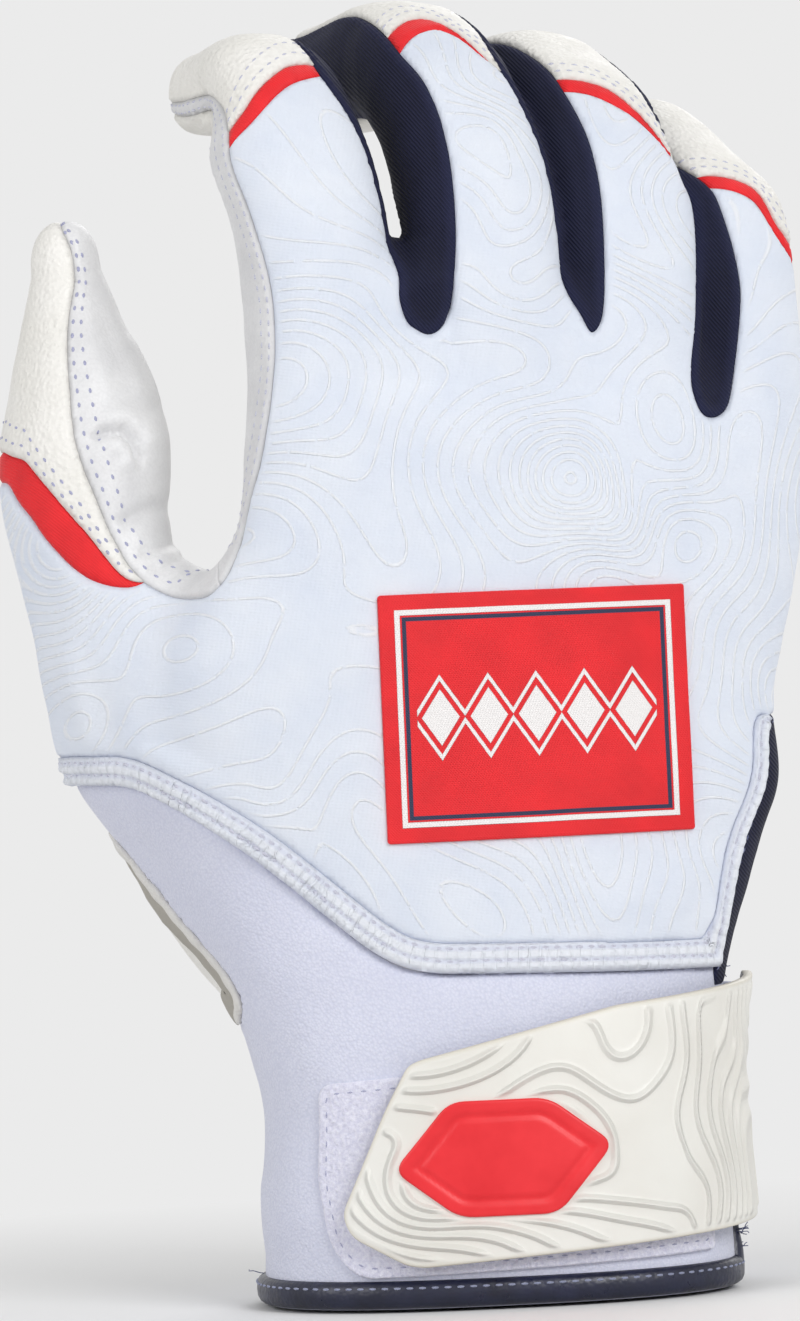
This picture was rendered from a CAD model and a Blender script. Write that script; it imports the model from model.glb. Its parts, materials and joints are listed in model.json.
"""Looks of a right-hand batting glove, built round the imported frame.

Lengths are in millimetres, in the frame's axes, until a mesh is made from them."""
import json
import math

import bpy
import numpy as np
from mathutils import Matrix, Vector, noise
from mathutils.bvhtree import BVHTree
from mathutils.geometry import delaunay_2d_cdt
from mathutils.kdtree import KDTree

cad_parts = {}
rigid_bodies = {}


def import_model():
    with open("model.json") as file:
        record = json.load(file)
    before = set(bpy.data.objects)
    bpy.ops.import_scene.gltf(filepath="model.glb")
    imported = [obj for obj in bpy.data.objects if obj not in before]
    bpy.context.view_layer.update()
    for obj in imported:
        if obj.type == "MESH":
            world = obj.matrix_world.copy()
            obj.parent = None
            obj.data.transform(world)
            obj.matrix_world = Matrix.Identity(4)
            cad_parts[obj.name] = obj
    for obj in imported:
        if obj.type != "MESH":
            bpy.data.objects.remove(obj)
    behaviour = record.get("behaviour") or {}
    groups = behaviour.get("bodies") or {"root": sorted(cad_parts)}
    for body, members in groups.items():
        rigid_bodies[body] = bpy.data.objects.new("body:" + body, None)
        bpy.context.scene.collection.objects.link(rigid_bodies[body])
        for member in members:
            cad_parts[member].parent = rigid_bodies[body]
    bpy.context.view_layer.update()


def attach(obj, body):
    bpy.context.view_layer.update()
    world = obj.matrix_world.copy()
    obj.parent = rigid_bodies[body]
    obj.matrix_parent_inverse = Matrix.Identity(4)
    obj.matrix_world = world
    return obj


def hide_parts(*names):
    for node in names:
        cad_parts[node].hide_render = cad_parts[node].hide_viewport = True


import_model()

MM = 0.001
VOXEL = 0.9
SQUARENESS = 2.4

# ---------------------------------------------------------------- camera
PIXEL = 0.168
IMAGE = (800, 1321)
CAMERA_DISTANCE = 1200.0
CAMERA_TILT = math.radians(2.5)
HEM_PIXEL = (500.0, 1291.3)
IMAGE_CENTRE = (400.0, 660.5)


def add_camera():
    right = Vector((math.cos(CAMERA_TILT), 0, -math.sin(CAMERA_TILT)))
    up = Vector((math.sin(CAMERA_TILT), 0, math.cos(CAMERA_TILT)))
    dx = (IMAGE_CENTRE[0] - HEM_PIXEL[0]) * PIXEL
    dz = (HEM_PIXEL[1] - IMAGE_CENTRE[1]) * PIXEL
    place = right * dx + up * dz + Vector((0, -CAMERA_DISTANCE, 0))
    data = bpy.data.cameras.new("camera")
    data.sensor_width = 36
    data.lens = data.sensor_width * CAMERA_DISTANCE / (IMAGE[1] * PIXEL)
    data.clip_end = 20
    camera = bpy.data.objects.new("camera", data)
    turn = Matrix((right, up, Vector((0, -1, 0)))).transposed()
    camera.matrix_world = Matrix.Translation(place * MM) @ turn.to_4x4()
    bpy.context.scene.collection.objects.link(camera)
    bpy.context.scene.camera = camera


add_camera()

# ---------------------------------------------------------------- driving sizes
UP = np.array([0.0, 0.0, 1.0])
KNUCKLES = 100.0
DEPTH = 50.0
HEIGHT = 217.0

# Each digit's base, yaw, lengths of bones, curls and leans of the bones in degrees, width and depth.
FINGERS = {
    "index": ((-22.5, -10, 111.5), 28, (73, 22, 19), (3, 32, 84), (0, 1, 3), 25, 22),
    "middle": ((5, -4, 111.5), 28, (76, 27, 27), (5, 42, 88), (-1, 0, 0), 26, 23),
    "ring": ((27.5, 5, 111.5), 30, (72, 28, 25), (5, 44, 88), (-2, 0, 0), 26, 22),
    "little": ((45.5, 14, 107.2), 36, (71, 22, 20), (5, 42, 86), (-3, -1, 0), 22, 20),
    "thumb": ((-20.5, 6, 56.6), -50, (48, 36, 47), (2, 4, 6), (41, 21, 9), 27, 25),
}
FOUR_FINGERS = ("index", "middle", "ring", "little")
# The share of a digit's full width at even places along it.
FINGER_TAPER = (0.6, 0.95, 1.02, 1, 1, 0.96, 0.9, 0.82)
THUMB_TAPER = (1.52, 1.6, 1.42, 1.16, 1.02, 1.02, 1.0, 0.8, 0.42)
INDEX_TAPER = (0.6, 0.95, 1.02, 1, 1, 0.95, 0.82, 0.62)
# The hand's sections: height, left, right, middle and half depth as shares, and yaw in degrees.
HAND_ROWS = np.array([
    (0, -0.395, 0.4, 0, 0.54, 3),
    (0.149, -0.38, 0.385, 0, 0.52, 4),
    (0.21, -0.4, 0.39, 0, 0.5, 6),
    (0.271, -0.45, 0.425, 0, 0.46, 9),
    (0.342, -0.47, 0.5, -0.01, 0.42, 12),
    (0.423, -0.48, 0.545, -0.02, 0.38, 14),
    (0.494, -0.51, 0.57, -0.03, 0.35, 16),
    (0.545, -0.47, 0.585, -0.03, 0.33, 17),
    (0.585, -0.4, 0.585, -0.03, 0.3, 18),
    (0.677, -0.36, 0.55, -0.02, 0.25, 20),
    (0.732, -0.3, 0.38, -0.01, 0.1, 20),
])
HAND_TOP = HAND_ROWS[-1, 0] * HEIGHT
SPLINE_POINTS = 200
# How round a digit's hidden base and the top of the hand are, in millimetres.
BASE_REACH, TOP_REACH = 6, 4
# A digit's distance, place and angle where a point is too far from it to be measured.
FAR_OFF = (40.0, -1.0, 0.0)


def smoothstep(x):
    x = np.clip(x, 0, 1)
    return x * x * (3 - 2 * x)


def unit(vectors):
    return vectors / np.linalg.norm(vectors, axis=-1, keepdims=True)


def lengths_along(points):
    """How far along a line each of its points lies."""
    return np.concatenate([[0], np.cumsum(np.linalg.norm(np.diff(points, axis=0), axis=1))])


def interpolated(places, table, s):
    """The rows of a table, given at some places, at other places."""
    if table.ndim == 1:
        return np.interp(s, places, table)
    return np.column_stack([np.interp(s, places, column) for column in table.T])


def resampled(points, step):
    """A line with its points spaced evenly, about a step apart."""
    along = lengths_along(points)
    return interpolated(along, points, np.linspace(0, along[-1], max(int(along[-1] / step), 4)))


def nearest_to(places):
    """A function that finds the place nearest to a point: itself, its number and its distance."""
    tree = KDTree(len(places))
    for i, place in enumerate(places):
        tree.insert(place, i)
    tree.balance()
    return tree.find


def edges_of(faces):
    """The three sides of every triangle, each in the triangle's own direction."""
    return np.vstack([faces[:, [0, 1]], faces[:, [1, 2]], faces[:, [2, 0]]])


def unique_edges(faces):
    return np.unique(np.sort(edges_of(faces), axis=1), axis=0)


def neighbours(faces):
    """All sides of the triangles, each side that two share, and the two triangles beside it."""
    edges = np.sort(edges_of(faces), axis=1)
    order = np.lexsort(edges.T)
    edges, owner = edges[order], np.tile(np.arange(len(faces)), 3)[order]
    same = (edges[1:] == edges[:-1]).all(1)
    return edges, edges[:-1][same], owner[:-1][same], owner[1:][same]


def beside(values, a, b):
    """The sum of the values at the other ends of every point's edges."""
    count = len(values)
    return np.column_stack([
        np.bincount(a, values[b, i], count) + np.bincount(b, values[a, i], count) for i in range(3)
    ])


def smoothed(values, width):
    """A table with its corners rounded over that many entries."""
    reach = int(3 * width)
    kernel = np.exp(-0.5 * (np.arange(-reach, reach + 1) / width) ** 2)
    before, after = 2 * values[:1] - values[reach:0:-1], 2 * values[-1:] - values[-2:-reach - 2:-1]
    padded = np.concatenate([before, values, after])
    return np.convolve(padded, kernel / kernel.sum(), "valid")


def catmull_rom(points, count):
    """Evenly spaced points of a centripetal spline, and its length."""
    p = [np.array(q, float) for q in points]
    p = [2 * p[0] - p[1], *p, 2 * p[-1] - p[-2]]
    out = []
    for i in range(1, len(p) - 2):
        knots = np.cumsum([0] + [np.linalg.norm(p[j + 1] - p[j]) ** 0.5 for j in range(i - 1, i + 2)])
        u = np.linspace(knots[1], knots[2], SPLINE_POINTS, endpoint=i == len(p) - 3)[:, None]

        def mix(a, b, j, k):
            return ((knots[k] - u) * a + (u - knots[j]) * b) / (knots[k] - knots[j])

        a1, a2, a3 = mix(p[i - 1], p[i], 0, 1), mix(p[i], p[i + 1], 1, 2), mix(p[i + 1], p[i + 2], 2, 3)
        b1, b2 = mix(a1, a2, 0, 2), mix(a2, a3, 1, 3)
        out.append(mix(b1, b2, 1, 2))
    line = np.vstack(out)
    along = lengths_along(line)
    return interpolated(along, line, np.linspace(0, along[-1], count)), along[-1]


def make_digit(name, samples=240):
    """A digit's tube: its spine, directions and half sizes at even places along it."""
    base, yaw, bones, curls, leans, width, depth = FINGERS[name]
    yaw = math.radians(yaw)
    bends = np.array([-math.sin(yaw), math.cos(yaw), 0])
    side = np.array([math.cos(yaw), math.sin(yaw), 0])
    points = [np.array(base, float)]
    for length, curl, lean in zip(bones, curls, leans):
        c, a = math.radians(curl), math.radians(-lean)
        x, y, z = UP * math.cos(c) + bends * math.sin(c)
        bone = np.array([x * math.cos(a) + z * math.sin(a), y, z * math.cos(a) - x * math.sin(a)])
        points.append(points[-1] + bone * length)
    spine, length = catmull_rom(points, samples)
    tangent = unit(np.gradient(spine, axis=0))
    lateral = unit(side - tangent * (tangent @ side)[:, None])
    taper = np.array({"thumb": THUMB_TAPER, "index": INDEX_TAPER}.get(name, FINGER_TAPER), float)
    even = np.linspace(0, 1, samples)
    share = smoothed(np.interp(even, np.linspace(0, 1, len(taper)), taper), samples * 0.03)
    tip = depth / 2 * share[-1] * {"thumb": 1.7, "index": 1.1}.get(name, 0.9)
    return dict(
        name=name, spine=spine, tangent=tangent, lateral=lateral, dorsal=np.cross(lateral, tangent),
        half_width=width / 2 * share, half_depth=depth / 2 * share, tip=tip, length=length,
        places=np.linspace(0, length, samples),
    )


def superellipse(u, v, w, sizes):
    """Distance to a tube of rounded square section, and the angle round it in degrees."""
    n = SQUARENESS
    parts = [np.abs(x) for x in (u, v, w)]
    rho = np.maximum((parts[0] ** n + parts[1] ** n + parts[2] ** n) ** (1 / n), 0.05)
    slopes = [(x ** (n - 1) / size) ** 2 for x, size in zip(parts, sizes)]
    distance = (rho - 1) / np.maximum(rho ** (1 - n) * np.sqrt(slopes[0] + slopes[1] + slopes[2]), 1e-4)
    angle = np.degrees(np.arctan2(np.sign(u) * parts[0] ** (n / 2), np.sign(v) * parts[1] ** (n / 2)))
    return distance, angle


def digit_coords(d, points):
    """Distance from a digit's tube, place along it and angle round it."""
    def at(key):
        return interpolated(d["places"], d[key], inside)

    coarse = slice(None, None, 5)
    knots = d["spine"][coarse]
    near = np.argmin((knots**2).sum(1) - 2 * points @ knots.T, axis=1)
    s = d["places"][coarse][near]
    for _ in range(3):
        inside = np.clip(s, 0, d["length"])
        ahead = ((points - at("spine")) * at("tangent")).sum(1)
        past_end = (s >= d["length"]) & (ahead > 0) | (s <= 0) & (ahead < 0)
        s = inside + np.where(past_end, ahead, np.clip(ahead, -3, 3) * 0.8)
    inside = np.clip(s, 0, d["length"])
    offset = points - at("spine")
    over = (offset * at("tangent")).sum(1)
    half_width, half_depth = at("half_width"), at("half_depth")
    before_base = np.where(inside <= 0, np.minimum(over, 0) / BASE_REACH, 0)
    w = np.where(inside >= d["length"], np.maximum(over, 0) / d["tip"], before_base)
    u, v = (offset * at("lateral")).sum(1) / half_width, (offset * at("dorsal")).sum(1) / half_depth
    distance, angle = superellipse(u, v, w, (half_width, half_depth, d["tip"]))
    return distance, s / d["length"], angle


HAND_PLACES = np.linspace(0, HAND_TOP, 320)
HAND_TABLE = np.column_stack([
    smoothed(np.interp(HAND_PLACES, HAND_ROWS[:, 0] * HEIGHT, column), 7) for column in HAND_ROWS[:, 1:].T
])


def hand_section(z):
    """Centre x and y, half width, half depth and yaw of the hand's section at a height."""
    left, right, middle, half, yaw = (np.interp(z, HAND_PLACES, column) for column in HAND_TABLE.T)
    centre, width = (left + right) / 2 * KNUCKLES, (right - left) / 2 * KNUCKLES
    return centre, middle * DEPTH, width, half * DEPTH, np.radians(yaw)


def hand_coords(points):
    x, y, half_width, half_depth, yaw = hand_section(points[:, 2])
    dx, dy = points[:, 0] - x, points[:, 1] - y
    u = (dx * np.cos(yaw) + dy * np.sin(yaw)) / half_width
    v = (dx * np.sin(yaw) - dy * np.cos(yaw)) / half_depth
    w = np.maximum(points[:, 2] - HAND_TOP, 0) / TOP_REACH
    return superellipse(u, v, w, (half_width, half_depth, TOP_REACH))


def hand_point(angle, z, grow=0):
    """A point of the hand's tube, at an angle in degrees from its back."""
    x, y, half_width, half_depth, yaw = hand_section(z)
    sine, cosine = np.sin(np.radians(angle)), np.cos(np.radians(angle))
    u = (half_width + grow) * np.sign(sine) * np.abs(sine) ** (2 / SQUARENESS)
    v = (half_depth + grow) * np.sign(cosine) * np.abs(cosine) ** (2 / SQUARENESS)
    c, s = np.cos(yaw), np.sin(yaw)
    return np.stack([x + u * c + v * s, y + u * s - v * c, z + 0 * u], -1)


DIGITS = {name: make_digit(name) for name in FINGERS}
# How far each digit's root blends into the hand, and how the thumb's does so at two heights.
BLENDS = {"index": 6, "middle": 6, "ring": 6, "little": 6, "thumb": 24}
THUMB_BLEND = ((58, 96), (5, 24))
# Smooth webs between neighbouring fingers: how far they reach at two heights.
WEBS = {
    ("index", "middle"): ((168, 181), (17, 4)),
    ("middle", "ring"): ((160, 174), (12, 2)),
    ("ring", "little"): ((146, 160), (12, 2)),
}


def digit_box(d):
    reach = max(d["half_width"].max(), d["half_depth"].max()) + BLENDS[d["name"]] + 2
    return d["spine"].min(0) - reach, d["spine"].max(0) + reach


def within(points, low, high):
    return np.flatnonzero(((points > low) & (points < high)).all(1))


def blended(a, b, reach):
    h = np.maximum(reach - np.abs(a - b), 0) / reach
    return np.minimum(a, b) - h * h * reach / 4


def skin_distance(points):
    """Signed distance, near zero, to the skin of the whole glove."""
    hand = np.minimum(hand_coords(points)[0], 30)
    result = hand.copy()
    tubes = {}
    for name, d in DIGITS.items():
        tubes[name] = np.full(len(points), FAR_OFF[0])
        near = within(points, *digit_box(d))
        if not len(near):
            continue
        tubes[name][near] = digit_coords(d, points[near])[0]
        distance = np.minimum(tubes[name][near], BLENDS[name] + 2)
        reach = np.interp(points[near, 2], *THUMB_BLEND) if name == "thumb" else BLENDS[name]
        result[near] = np.minimum(result[near], blended(hand[near], distance, reach))
    for (near, far), (heights, reaches) in WEBS.items():
        share = np.clip((points[:, 2] - heights[0]) / (heights[1] - heights[0]), 0, 1)
        reach = reaches[0] + (reaches[1] - reaches[0]) * share * share * (3 - 2 * share)
        result = np.minimum(result, blended(tubes[near], tubes[far], reach))
    return result


def surface_nets(values, origin, step):
    """Vertices and quads of the surface where a grid of values is zero, facing its high side."""
    inside = values < 0
    shape = np.array(values.shape)
    cells, sums, quads = [], [], []
    for axis in range(3):
        low = [slice(None)] * 3
        high = [slice(None)] * 3
        low[axis], high[axis] = slice(None, -1), slice(1, None)
        edge = np.argwhere(inside[tuple(low)] != inside[tuple(high)])
        others = [i for i in range(3) if i != axis]
        edge = edge[(edge[:, others] > 0).all(1) & (edge[:, others] < shape[others] - 1).all(1)]
        ahead = edge.copy()
        ahead[:, axis] += 1
        v0, v1 = values[tuple(edge.T)], values[tuple(ahead.T)]
        place = edge.astype(float)
        place[:, axis] += v0 / (v0 - v1)
        ring = []
        for da, db in ((0, 0), (-1, 0), (-1, -1), (0, -1)):
            cell = edge.copy()
            cell[:, others[0]] += da
            cell[:, others[1]] += db
            ring.append(np.ravel_multi_index(cell.T, shape))
            cells.append(ring[-1])
            sums.append(place)
        ring = np.column_stack(ring)
        flip = (v0 > v1) ^ (axis == 1)
        quads.append(np.where(flip[:, None], ring[:, ::-1], ring))
    ids, inverse = np.unique(np.concatenate(cells), return_inverse=True)
    sums = np.vstack(sums)
    count = np.bincount(inverse)
    vertices = np.column_stack([np.bincount(inverse, sums[:, i]) / count for i in range(3)])
    quads = np.searchsorted(ids, np.vstack(quads))
    return vertices * step + origin, quads


def relaxed(vertices, triangles, rounds):
    """Evens out a mesh without shrinking it."""
    a, b = unique_edges(triangles).T
    count = np.bincount(np.concatenate([a, b]), minlength=len(vertices))[:, None]
    for step in range(rounds):
        mean = beside(vertices, a, b) / count
        vertices = vertices + (mean - vertices) * (-0.52 if step % 2 else 0.5)
    return vertices


SKIN_BOX = np.array([-86.0, -34.0, -5.0]), np.array([66.0, 66.0, 226.0])


def make_skin(step, thickness=8):
    """The glove's whole skin as vertices and triangles."""
    low, high = SKIN_BOX
    axes = [np.arange(low[i], high[i], step) for i in range(3)]
    values = np.empty([len(a) for a in axes], np.float32)
    grid = np.stack(np.meshgrid(axes[0], axes[1], indexing="ij"), -1).reshape(-1, 2)
    for start in range(0, len(axes[2]), thickness):
        slab = axes[2][start:start + thickness]
        points = np.column_stack([np.repeat(grid, len(slab), 0), np.tile(slab, len(grid))])
        distances = skin_distance(points).reshape(len(axes[0]), len(axes[1]), len(slab))
        values[:, :, start:start + thickness] = distances
    vertices, quads = surface_nets(values, low, step)
    triangles = np.vstack([quads[:, [0, 1, 2]], quads[:, [0, 2, 3]]])
    return relaxed(vertices, triangles, 8), triangles


def mesh_object(name, vertices, faces, smooth=True):
    mesh = bpy.data.meshes.new(name)
    mesh.from_pydata((np.asarray(vertices) * MM).tolist(), [], [list(map(int, f)) for f in faces])
    mesh.update()
    if smooth:
        mesh.shade_smooth()
    obj = bpy.data.objects.new(name, mesh)
    bpy.context.scene.collection.objects.link(obj)
    return obj


# ---------------------------------------------------------------- seams
# A vertex nearer to a cut than this share of its edge is moved onto the cut.
SNAP = 0.35


class Skin:
    """The glove's skin as triangles, with its seam coordinates at every vertex."""

    def __init__(self, vertices, triangles):
        self.v, self.f = vertices, triangles
        self.label = np.full(len(triangles), -1)
        self.fixed = np.zeros(len(vertices), bool)
        self.tubes = {name: np.full((len(vertices), 3), FAR_OFF) for name in DIGITS}
        self.hand = np.zeros((len(vertices), 2))
        self.measure(np.arange(len(vertices)))

    def measure(self, ids):
        points = self.v[ids]
        self.hand[ids] = np.column_stack(hand_coords(points))
        for name, d in DIGITS.items():
            near = within(points, *digit_box(d))
            self.tubes[name][ids[near]] = np.column_stack(digit_coords(d, points[near]))

    def cut(self, field, label, only=-1):
        """Splits the triangles along the field's zero line and labels those on its high side."""
        values = field(self)
        a, b = unique_edges(self.f[self.label == only]).T
        crossing = values[a] * values[b] < 0
        a, b = a[crossing], b[crossing]
        share = values[a] / (values[a] - values[b])
        near_a, near_b = share < SNAP, share > 1 - SNAP
        moved = np.concatenate([a[near_a], b[near_b]])
        target = self.v[a] + share[:, None] * (self.v[b] - self.v[a])
        target = np.vstack([target[near_a], target[near_b]])
        far = np.concatenate([share[near_a], 1 - share[near_b]])
        order = np.argsort(far)
        moved, target = moved[order], target[order]
        moved, first = np.unique(moved, return_index=True)
        target = target[first]
        free = ~self.fixed[moved]
        moved, target = moved[free], target[free]
        self.v[moved] = target
        values[moved] = 0
        still = values[a] * values[b] < 0
        a, b = a[still], b[still]
        share = values[a] / (values[a] - values[b])
        count = len(self.v)
        self.v = np.vstack([self.v, self.v[a] + share[:, None] * (self.v[b] - self.v[a])])
        values = np.concatenate([values, np.zeros(len(a))])
        self.fixed = np.concatenate([self.fixed, np.zeros(len(a), bool)])
        self.fixed[values == 0] = True
        self.hand = np.vstack([self.hand, np.zeros((len(a), 2))])
        for name in DIGITS:
            self.tubes[name] = np.vstack([self.tubes[name], np.full((len(a), 3), FAR_OFF)])
        self.measure(np.concatenate([moved, np.arange(count, len(self.v))]))
        keys = a * len(self.v) + b
        order = np.argsort(keys)
        keys = keys[order]

        def middle(p, q):
            key = np.minimum(p, q) * len(self.v) + np.maximum(p, q)
            return count + order[np.searchsorted(keys, key)]

        signs = np.sign(values[self.f])
        mixed = (signs.min(1) < 0) & (signs.max(1) > 0) & (self.label == only)
        whole, tri, labels = self.f[~mixed], self.f[mixed], self.label[mixed]
        s = signs[mixed]
        zero = (s == 0).any(1)
        lone = np.where(zero, np.argmax(s == 0, 1), 0)
        total = s.sum(1)
        lone = np.where(zero, lone, np.argmax(s == -np.sign(total)[:, None], 1))
        rows = np.arange(len(tri))
        p, q, r = (tri[rows, (lone + k) % 3] for k in range(3))
        z = zero
        m = middle(q[z], r[z])
        n = ~z
        m1, m2 = middle(p[n], q[n]), middle(r[n], p[n])
        new = [
            np.column_stack([p[z], q[z], m]), np.column_stack([p[z], m, r[z]]),
            np.column_stack([p[n], m1, m2]), np.column_stack([m1, q[n], r[n]]), np.column_stack([m1, r[n], m2]),
        ]
        self.f = np.vstack([whole, *new])
        self.label = np.concatenate([self.label[~mixed], labels[z], labels[z], labels[n], labels[n], labels[n]])
        inside = values[self.f].sum(1) > 0
        self.label[inside & (self.label == only)] = label

    def drop(self, label):
        keep = self.label != label
        self.f, self.label = self.f[keep], self.label[keep]


def both(*fields):
    return np.minimum.reduce(fields)


def either(*fields):
    return np.maximum.reduce(fields)


def rounded_both(a, b, radius):
    """Where both fields are positive, with a round corner."""
    outside = np.hypot(np.maximum(radius - a, 0), np.maximum(radius - b, 0))
    return np.where((a < radius) & (b < radius), radius - outside, np.minimum(a, b))


def curve(points, smooth=0.0):
    """A function through [place, value] points, with its corners rounded over a distance."""
    points = np.array(points, float)
    places = np.linspace(points[0, 0], points[-1, 0], 400)
    values = np.interp(places, points[:, 0], points[:, 1])
    if smooth:
        values = smoothed(values, smooth / (places[1] - places[0]))
    return lambda x: np.interp(x, places, values)


def px(x, y, depth=0.0):
    """A photograph's pixel as x and z in millimetres, on the plane at that depth."""
    u = (x - IMAGE_CENTRE[0]) * PIXEL
    v = (IMAGE_CENTRE[1] - y) * PIXEL
    c, s = math.cos(CAMERA_TILT), math.sin(CAMERA_TILT)
    dx = (IMAGE_CENTRE[0] - HEM_PIXEL[0]) * PIXEL
    dz = (HEM_PIXEL[1] - IMAGE_CENTRE[1]) * PIXEL
    cx, cz = dx * c + dz * s, -dx * s + dz * c
    k = (CAMERA_DISTANCE + depth) / CAMERA_DISTANCE
    return cx + (u * c + v * s) * k, cz + (-u * s + v * c) * k


# Millimetres along the skin of a finger for each degree round it.
SEAM_REACH = 0.21


def past_seam(tube, points):
    """Millimetres past a seam that a table gives as angles round a digit at places along it."""
    return (tube[:, 2] - curve(points, 0.01)(tube[:, 1])) * SEAM_REACH


# Seam angles, at places along the digit that carries the seam.
FAR_SEAMS = {
    "index": [(0.3, 130), (0.4, 62), (0.427, 37), (0.445, 34), (0.466, 32), (0.481, 31), (0.501, 35),
              (0.567, 50), (0.613, 47), (0.669, 46), (0.709, 36), (0.744, 24), (0.778, 16), (0.84, 15)],
    "middle": [(0.3, 130), (0.36, 70), (0.372, 48), (0.382, 40), (0.398, 41), (0.417, 44), (0.45, 48),
               (0.5, 50), (0.55, 50), (0.6, 46), (0.665, 36), (0.7, 23), (0.747, 28), (0.84, 28)],
    "ring": [(0.2, 130), (0.25, 60), (0.262, 40), (0.27, 25), (0.278, 21), (0.291, 19), (0.308, 20),
             (0.344, 27), (0.384, 35), (0.435, 42), (0.492, 50), (0.543, 54), (0.58, 52), (0.605, 36),
             (0.662, 33), (0.84, 33)],
}
NEAR_SEAMS = {
    "middle": [(0.3, -130), (0.358, -84), (0.37, -69), (0.38, -60), (0.396, -55), (0.419, -51), (0.458, -47),
               (0.493, -44), (0.569, -39), (0.632, -37), (0.679, -39), (0.724, -47), (0.8, -46), (0.84, -42)],
    "ring": [(0.3, -130), (0.36, -80), (0.37, -62), (0.378, -53), (0.381, -47), (0.393, -43), (0.445, -41),
             (0.505, -37), (0.564, -33), (0.616, -31), (0.662, -32), (0.694, -32), (0.731, -28), (0.765, -28),
             (0.84, -34)],
    "little": [(0.25, -130), (0.31, -80), (0.325, -55), (0.332, -45), (0.344, -40), (0.362, -38), (0.388, -35),
               (0.413, -33), (0.454, -28), (0.507, -23), (0.552, -25), (0.606, -30), (0.652, -33), (0.675, -37),
               (0.71, -43), (0.759, -46), (0.84, -46)],
}
GUSSET_ENDS = {"middle": 1.06, "ring": 0.86, "little": 0.86}
# How many degrees further round a gusset reaches at the far finger's end.
GUSSET_WRAPS = {"middle": 44, "ring": 0, "little": 0}
GUSSET_FEET = {"index": (0.47, 0.43), "middle": (0.43, 0.42), "ring": (0.32, 0.38)}
INDEX_SEAM = [(0, -100), (0.062, -94), (0.079, -89), (0.1, -89), (0.154, -90), (0.196, -86), (0.238, -79),
              (0.294, -73), (0.336, -71), (0.379, -69), (0.421, -67), (0.477, -67), (0.512, -68), (0.547, -70),
              (0.592, -76), (0.652, -79), (0.71, -80), (0.76, -84), (0.86, -96), (1.3, -100)]
THUMB_RIDGE = [(0.5, 92), (0.53, 86), (0.555, 82), (0.57, 77), (0.598, 72), (0.641, 66), (0.69, 58),
               (0.734, 50), (0.78, 45), (0.819, 43), (0.872, 41), (0.918, 42), (0.961, 52), (0.986, 66),
               (1.033, 66), (1.059, 44), (1.12, 30)]
CROTCH = [(-60, 126), (-55.7, 124.1), (-53.3, 121), (-50.8, 119.7), (-47.4, 118.7), (-43.9, 118.7),
          (-42.2, 119.7), (-41, 120.7), (-39.7, 123.1), (-38.5, 126.1), (-34, 137)]
# Where a band of colour starts and ends: places along the digit, at angles round it.
ACCENTS = {
    "index": ([(-120, 0.7), (-80, 0.71), (-67, 0.722), (-47, 0.738), (-25, 0.756), (-7, 0.769), (17, 0.78),
               (60, 0.78)],
              [(-120, 0.73), (-80, 0.74), (-56, 0.76), (-37, 0.773), (-15, 0.787), (0, 0.797), (14, 0.796),
               (60, 0.796)]),
    "middle": ([(-90, 0.7), (-45, 0.728), (-27, 0.742), (-5, 0.75), (1, 0.738), (6, 0.721), (13, 0.7),
                (40, 0.68)],
               [(-90, 0.73), (-45, 0.761), (-29, 0.769), (-17, 0.774), (-5, 0.772), (1, 0.758), (6, 0.733),
                (13, 0.708), (21, 0.69), (40, 0.68)]),
    "ring": ([(-90, 0.66), (-33, 0.691), (-17, 0.68), (-5, 0.667), (4, 0.649), (13, 0.63), (30, 0.6),
              (50, 0.57)],
             [(-90, 0.7), (-29, 0.714), (-14, 0.703), (0, 0.689), (8, 0.664), (18, 0.639), (27, 0.615),
              (33, 0.603), (50, 0.575)]),
    "little": ([(-90, 0.64), (-34, 0.652), (-16, 0.645), (0, 0.633), (6, 0.617), (13, 0.595), (25, 0.575),
                (60, 0.55), (110, 0.54)],
               [(-90, 0.67), (-34, 0.676), (-17, 0.671), (-1, 0.661), (11, 0.641), (16, 0.618), (22, 0.6),
                (40, 0.585), (110, 0.57)]),
    "thumb": ([(-130, 0.75), (-60, 0.745), (-17, 0.738), (-1, 0.699), (11, 0.658), (24, 0.622), (38, 0.597),
               (52, 0.582), (70, 0.57), (90, 0.56)],
              [(-130, 0.783), (-60, 0.78), (-23, 0.777), (3, 0.76), (27, 0.706), (47, 0.65), (62, 0.594),
               (74, 0.568), (90, 0.56)]),
}
WELT = [(-100, 89.6), (-66, 88.3), (-55.3, 87.8), (-47.9, 83.2), (-31, 69.4), (-19.1, 59), (-14, 55.9),
        (-8, 54.8), (37, 53.3), (100, 53.3)]
# The angle round a digit where the palm leather begins, and rough lengths of digits.
PALM_ANGLE = 112
FINGER_LENGTH, INDEX_LENGTH, THUMB_LENGTH = 115, 113, 131
CROTCH_SPLIT = -41.7
BACK_OUT = 32.5
# The dark panel's front edge: heights and angles round the hand.
ULNAR_SEAM = [(40, 67), (52.6, 64), (57.4, 61.5), (64.1, 59), (69, 58.5), (75.6, 59.5), (82.2, 61), (88, 63),
              (96, 66)]
# Where the palm leather's corner reaches round the thumb's side of the wrist: heights and angles.
CORNER_SIDE = [(44, -70), (51.5, -77), (54.8, -87), (59.8, -95), (66.6, -107), (71.6, -119), (78, -131),
               (86, -142)]
CORNER_FOOT = [(-180, 41), (-142, 42), (-110, 45), (-90, 48), (-76, 50.6)]


def own(s, name, reach=3):
    """Whether a point is on a digit, as millimetres."""
    others = np.minimum.reduce([s.tubes[n][:, 0] for n in DIGITS if n != name])
    return np.minimum(reach - s.tubes[name][:, 0], 2 * (others - s.tubes[name][:, 0]) + 4)


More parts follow.
